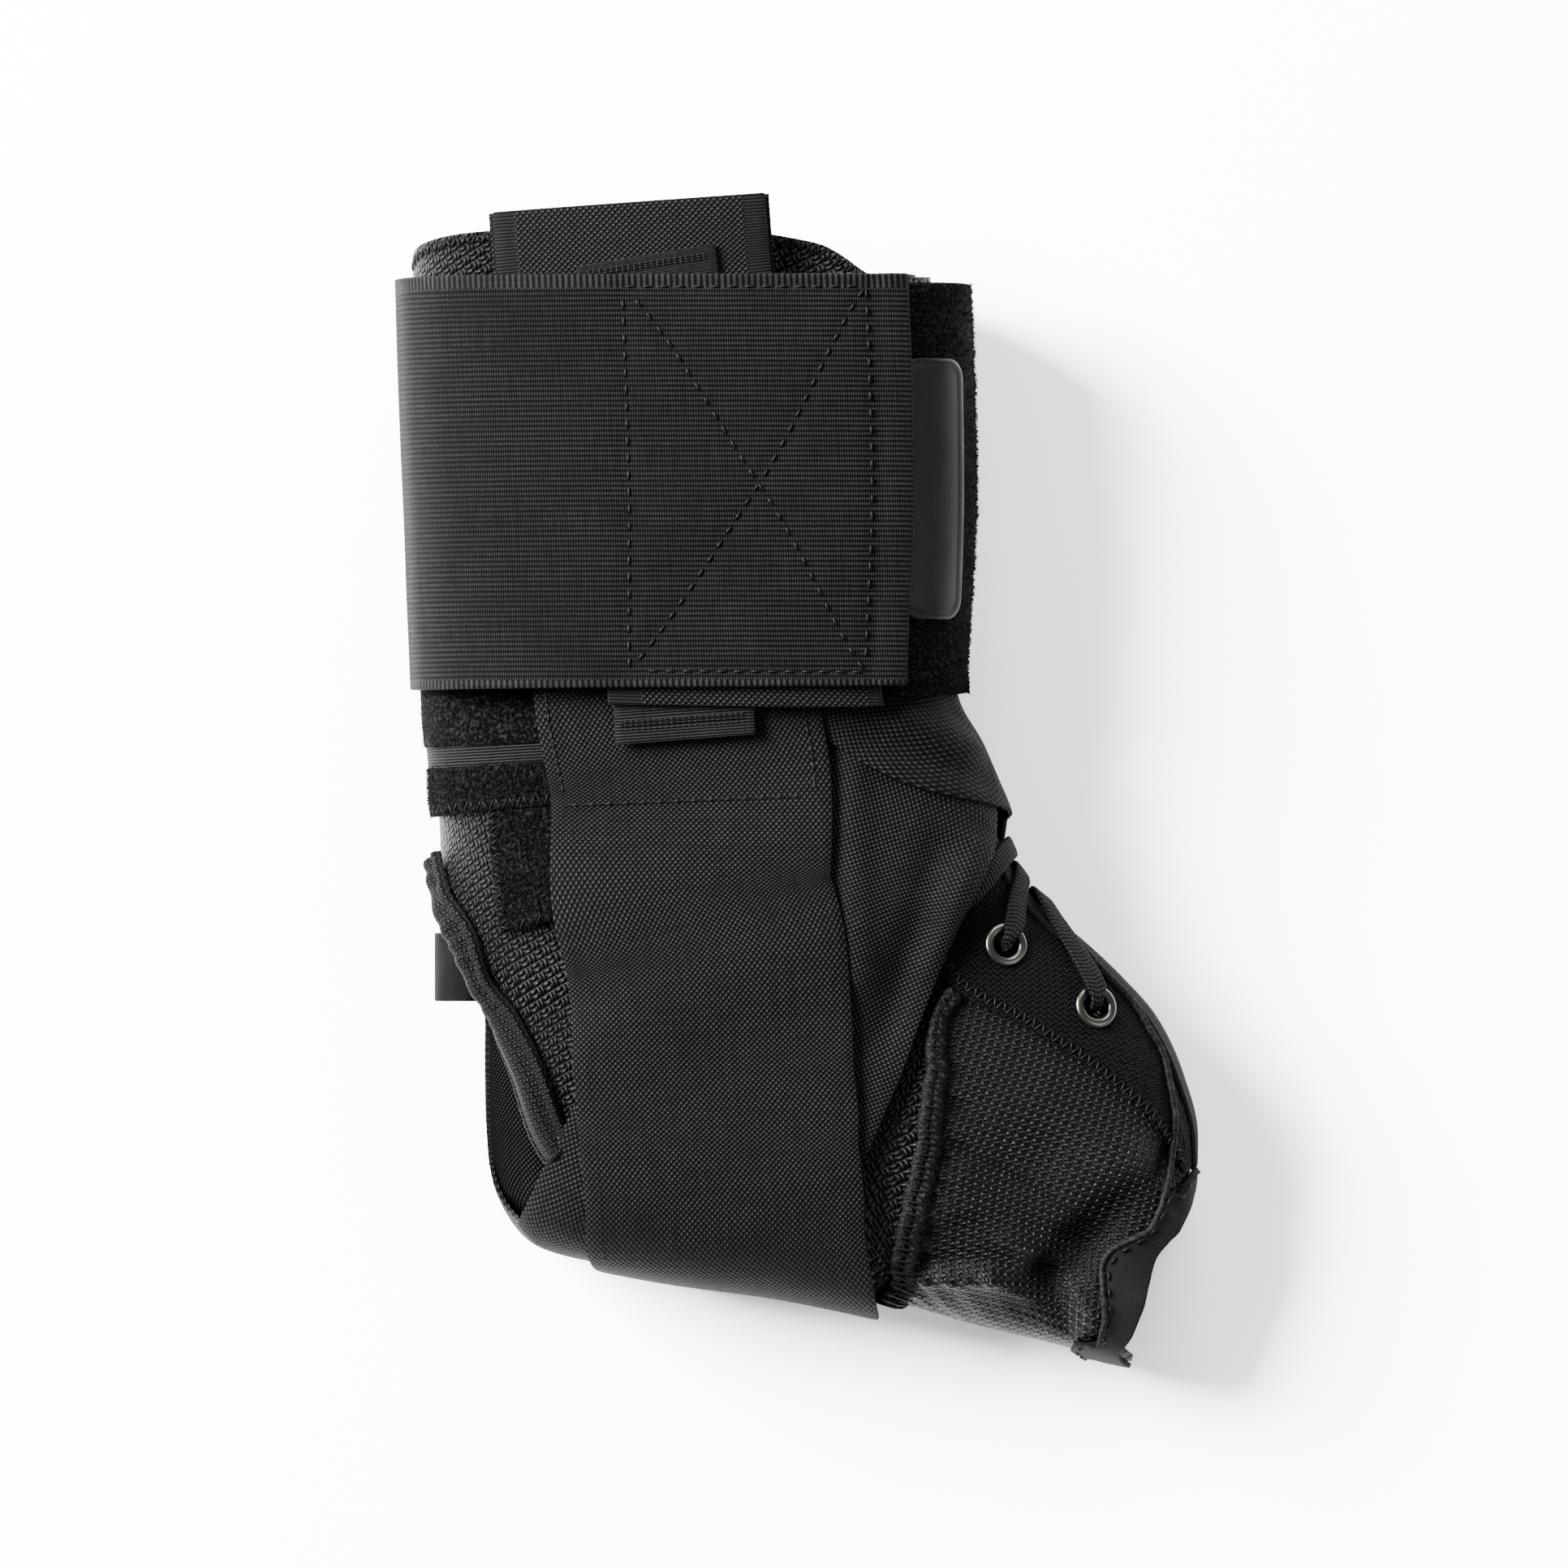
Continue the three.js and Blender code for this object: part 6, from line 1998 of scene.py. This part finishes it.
    def lace(self) -> None:
        """Makes the lace, a flat braid with rounded edges."""
        points, normals, halves = self.knots()
        count = (len(points) - 1) * 9
        shares = np.linspace(0, 1, count + 1)
        centre = self.curve(points, shares)
        tangent = unit(np.gradient(centre, axis=0))
        at = shares * (len(points) - 1)
        row = np.minimum(at.astype(int), len(points) - 2)
        half = lerp(halves[row], halves[row + 1], at - row)
        normal = unit(lerp(normals[row], normals[row + 1], (at - row)[:, None]))
        sides, side = [], None
        for t, n in zip(tangent, normal):
            flat = t - n * (t @ n)
            if side is None or np.linalg.norm(flat) > 0.5:
                turned = np.cross(n, flat)
                turned = turned / np.linalg.norm(turned)
                side = -turned if side is not None and turned @ side < 0 else turned
            sides.append(side)
        across = np.array(sides)
        across = unit(across - tangent * (across * tangent).sum(-1, keepdims=True))
        across[2:-2] = unit(sum(across[k:len(across) - 4 + k] for k in range(5)))
        up = np.cross(tangent, across)
        ring = np.linspace(0, 2 * math.pi, 25)[:-1]
        wide = np.sign(np.cos(ring)) * np.abs(np.cos(ring)) ** 0.55
        tall = np.sign(np.sin(ring)) * np.abs(np.sin(ring)) ** 0.7
        body = (centre[:, None] + across[:, None] * (wide[None, :, None] * half[:, None, None])
                + up[:, None] * (tall[None, :, None] * self.lace_thickness / 2))
        run = run_along(centre)
        flat = np.stack([wide[None] * half[:, None], np.broadcast_to(run[:, None], body.shape[:2])], -1)
        numbers = np.arange(body.shape[0] * len(ring)).reshape(body.shape[:2])
        nxt = np.roll(numbers, -1, axis=1)
        faces = np.stack([numbers[:-1], nxt[:-1], nxt[1:], numbers[1:]], -1).reshape(-1, 4).tolist()
        faces += [numbers[0, ::-1].tolist(), numbers[-1].tolist()]
        obj = Bench.mesh("lace_braid", body.reshape(-1, 3), faces, flat.reshape(-1, 2))
        Bench.outward(obj)
        bpy.ops.object.shade_smooth_by_angle(angle=math.radians(60))
        self.shop.dress(obj, LACE_CORD, "lace_cord", "lace")

    def build(self) -> None:
        """Makes the eyelets and the lace."""
        for eyelet in EYELETS:
            self.ring(eyelet)
        self.lace()


@dataclass
class Stitching:
    """Seams, zigzags and pile fibres on the finished cloths.

    Attributes:
        shop: dresses the threads.
        boot: the boot's surfaces.
        cuff: the cuff's surfaces.
        straps: the straps' surfaces.
    """

    shop: Workshop
    boot: dict[str, Surface]
    cuff: dict[str, Surface]
    straps: dict[str, Surface]

    @staticmethod
    def share(surface: Surface, run: float) -> float:
        """Turns a run along a cloth into a share.

        Args:
            surface: the cloth.
            run: millimetres from its start.

        Returns:
            The share along it.
        """
        middle = surface.points[:, surface.points.shape[1] // 2]
        runs = run_along(middle)
        return float(np.interp(run, runs, np.linspace(0, 1, len(runs))))

    def finish(self, needle: Needle, name: str, slot: str, fibre: ClothFinish) -> None:
        """Cuts the thread and dresses it."""
        self.shop.dress(needle.cut(name), fibre, slot, mapped=False)

    def seams(self) -> None:
        """Sews the straps and the elastic."""
        needle = Needle(1)
        corners = list(BOX_SEAM) + [BOX_SEAM[0]]
        elastic = self.straps["elastic_strap"]
        for start, end in zip(corners[:-1], corners[1:]):
            needle.dashes(elastic, [start, end], 3.2)
        needle.dashes(elastic, [BOX_SEAM[0], BOX_SEAM[2]], 3.2, 0.74, 0.3)
        needle.dashes(elastic, [BOX_SEAM[1], BOX_SEAM[3]], 3.2, 0.74, 0.3)
        self.finish(needle, "elastic_seam_threads", "elastic_webbing", SEWING_THREAD)
        needle = Needle(2)
        near = self.straps["near_strap"]
        top, hem = self.share(near, 86), self.share(near, 113)
        needle.dashes(near, [(0.045, top), (0.045, hem)], 3.4, 0.74, 0.34)
        needle.dashes(near, [(0.94, top), (0.94, hem)], 3.4, 0.74, 0.34)
        needle.dashes(near, [(0.045, hem), (0.94, hem)], 3.2, 0.74, 0.36)
        low, foot = self.share(near, 176), self.share(near, 203)
        needle.dashes(near, [(0.06, low), (0.06, foot)], 1.8, 0.6, 0.2)
        tape = self.straps["pull_tape"]
        for t in (0.03, 0.955):
            for nudge in (0.0, 0.008, 0.016):
                needle.dashes(tape, [(0.04, t + nudge), (0.96, t + nudge)], 1.1, 0.85)
        self.finish(needle, "strap_seam_threads", "strap_webbing", SEWING_THREAD)

    def boot_seams(self) -> None:
        """Sews the stays, the arch seam and the hem."""
        needle = Needle(3)
        vamp, shell = self.boot["vamp"], self.boot["shell"]
        needle.zigzag(vamp, [(0.1, 0.035), (0.6, 0.035)], 2.6, 2.4)
        for side, edge in (("near_stay", 0.93), ("far_stay", 0.93)):
            needle.zigzag(self.boot[side], [(edge, 0.02), (edge, 0.98)], 2.4, 2.1)
        needle.dashes(self.boot["hem"], [(0.0, 0.0), (0.0, 1.0)], 2.8, 0.7, 0.2)
        toe = self.boot["toe"]
        needle.dashes(toe, [(0.0, 0.14), (1.0, 0.14)], 3.2)
        needle.zigzag(shell, [(0.1, 0.012), (0.98, 0.012)], 2.2, 2.0)
        strip, band = self.cuff["ankle_pile_strip"], self.cuff["ankle_pile_band"]
        needle.zigzag(strip, [(0.95, 0.0), (0.95, 1.0)], 2.2, 2.4)
        needle.zigzag(strip, [(0.1, 0.96), (0.9, 0.96)], 2.2, 3.0)
        needle.zigzag(band, [(0.2, 0.86), (0.98, 0.86)], 2.6, 2.6)
        self.finish(needle, "boot_seam_threads", "boot_mesh", SEWING_THREAD)

    def fibres(self) -> None:
        """Roots the pile's fibres."""
        needle = Needle(4, 3)
        needle.fuzz(self.straps["closure_strap"], 12000, 0.9, 0.075)
        self.finish(needle, "closure_pile_fibres", "loop_pile", LOOP_PILE)
        needle = Needle(5, 3)
        needle.fuzz(self.cuff["ankle_pile_strip"], 3400, 1.0, 0.07)
        needle.fuzz(self.cuff["ankle_pile_band"], 2400, 0.9, 0.07)
        needle.fuzz(self.cuff["cuff_pile_panel"], 6000, 0.9, 0.075)
        self.finish(needle, "cuff_pile_fibres", "loop_pile", LOOP_PILE)

    def build(self) -> None:
        """Sews everything."""
        self.seams()
        self.boot_seams()
        self.fibres()


# Soft lights: name, place in metres, side in metres, watts and colour
LIGHTS = (
    ("key_light", (-1.8, 0.9, 1.5), 1.2, 1380.0, (1.0, 0.985, 0.965)),
    ("fill_light", (1.7, -0.5, 1.6), 1.4, 50.0, (0.96, 0.98, 1.0)),
    ("back_light", (0.3, 1.9, 1.1), 1.2, 110.0, (1.0, 1.0, 1.0)),
)


@dataclass
class Studio:
    """Floor, lights and camera of the picture.

    Attributes:
        distance: the camera's height over the floor, in metres.
        frame: width of the picture at the brace's mid height, in metres.
        centre: place of the picture's middle, in metres.
        middle: half the brace's height over the floor, in metres.
        film: width of the camera's film, in millimetres.
        sky: strength of the light from all round.
    """

    distance: float = 2.6
    frame: float = 0.2972
    centre: tuple[float, float] = (-0.00254, 0.0)
    middle: float = 0.027
    film: float = 36.0
    sky: float = 0.88

    def floor(self) -> None:
        """Lays the pale floor."""
        bpy.ops.object.select_all(action="DESELECT")
        bpy.ops.mesh.primitive_plane_add(size=6)
        floor = bpy.context.object
        floor.name = "studio_floor"
        made = bpy.data.materials.new("studio_paper")
        made.use_nodes = True
        shader = made.node_tree.nodes["Principled BSDF"]
        shader.inputs["Base Color"].default_value = (0.93, 0.935, 0.945, 1)
        shader.inputs["Roughness"].default_value = 0.9
        floor.data.materials.append(made)

    def light(self, name: str, place: tuple[float, float, float], size: float, watts: float,
              colour: tuple[float, float, float]) -> None:
        """Hangs a square soft light that points at the brace.

        Args:
            name: the light's name.
            place: where it hangs, in metres.
            size: its side.
            watts: its power.
            colour: its colour.
        """
        lamp = bpy.data.lights.new(name, "AREA")
        lamp.size = size
        lamp.energy = watts
        lamp.color = colour
        obj = bpy.data.objects.new(name, lamp)
        bpy.context.scene.collection.objects.link(obj)
        obj.location = place
        aim = -np.array(place) / np.linalg.norm(place)
        obj.rotation_euler = (math.acos(-aim[2]), 0.0, math.atan2(aim[1], aim[0]) - math.pi / 2)

    def build(self) -> None:
        """Sets the whole studio."""
        self.floor()
        world = bpy.data.worlds.new("studio_world")
        bpy.context.scene.world = world
        world.use_nodes = True
        sky = world.node_tree.nodes["Background"].inputs
        sky[0].default_value = (0.93, 0.96, 1.0, 1)
        sky[1].default_value = self.sky
        for lamp in LIGHTS:
            self.light(*lamp)
        camera = bpy.data.cameras.new("photo_camera")
        camera.lens = self.film * self.distance / self.frame
        obj = bpy.data.objects.new("photo_camera", camera)
        bpy.context.scene.collection.objects.link(obj)
        obj.location = (*self.centre, self.distance + self.middle)
        bpy.context.scene.camera = obj


def main() -> None:
    """Loads the frame and builds every sub-assembly in order."""
    logging.basicConfig(level=logging.INFO, format="%(message)s")
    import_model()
    shop = Workshop()
    boot, cuff, straps = Boot(shop), Cuff(shop), Straps(shop)
    boot.build()
    cuff.build()
    straps.build()
    Lacing(shop).build()
    Stitching(shop, boot.surfaces, cuff.surfaces, straps.surfaces).build()
    Studio().build()


if __name__ == "__main__":
    main()
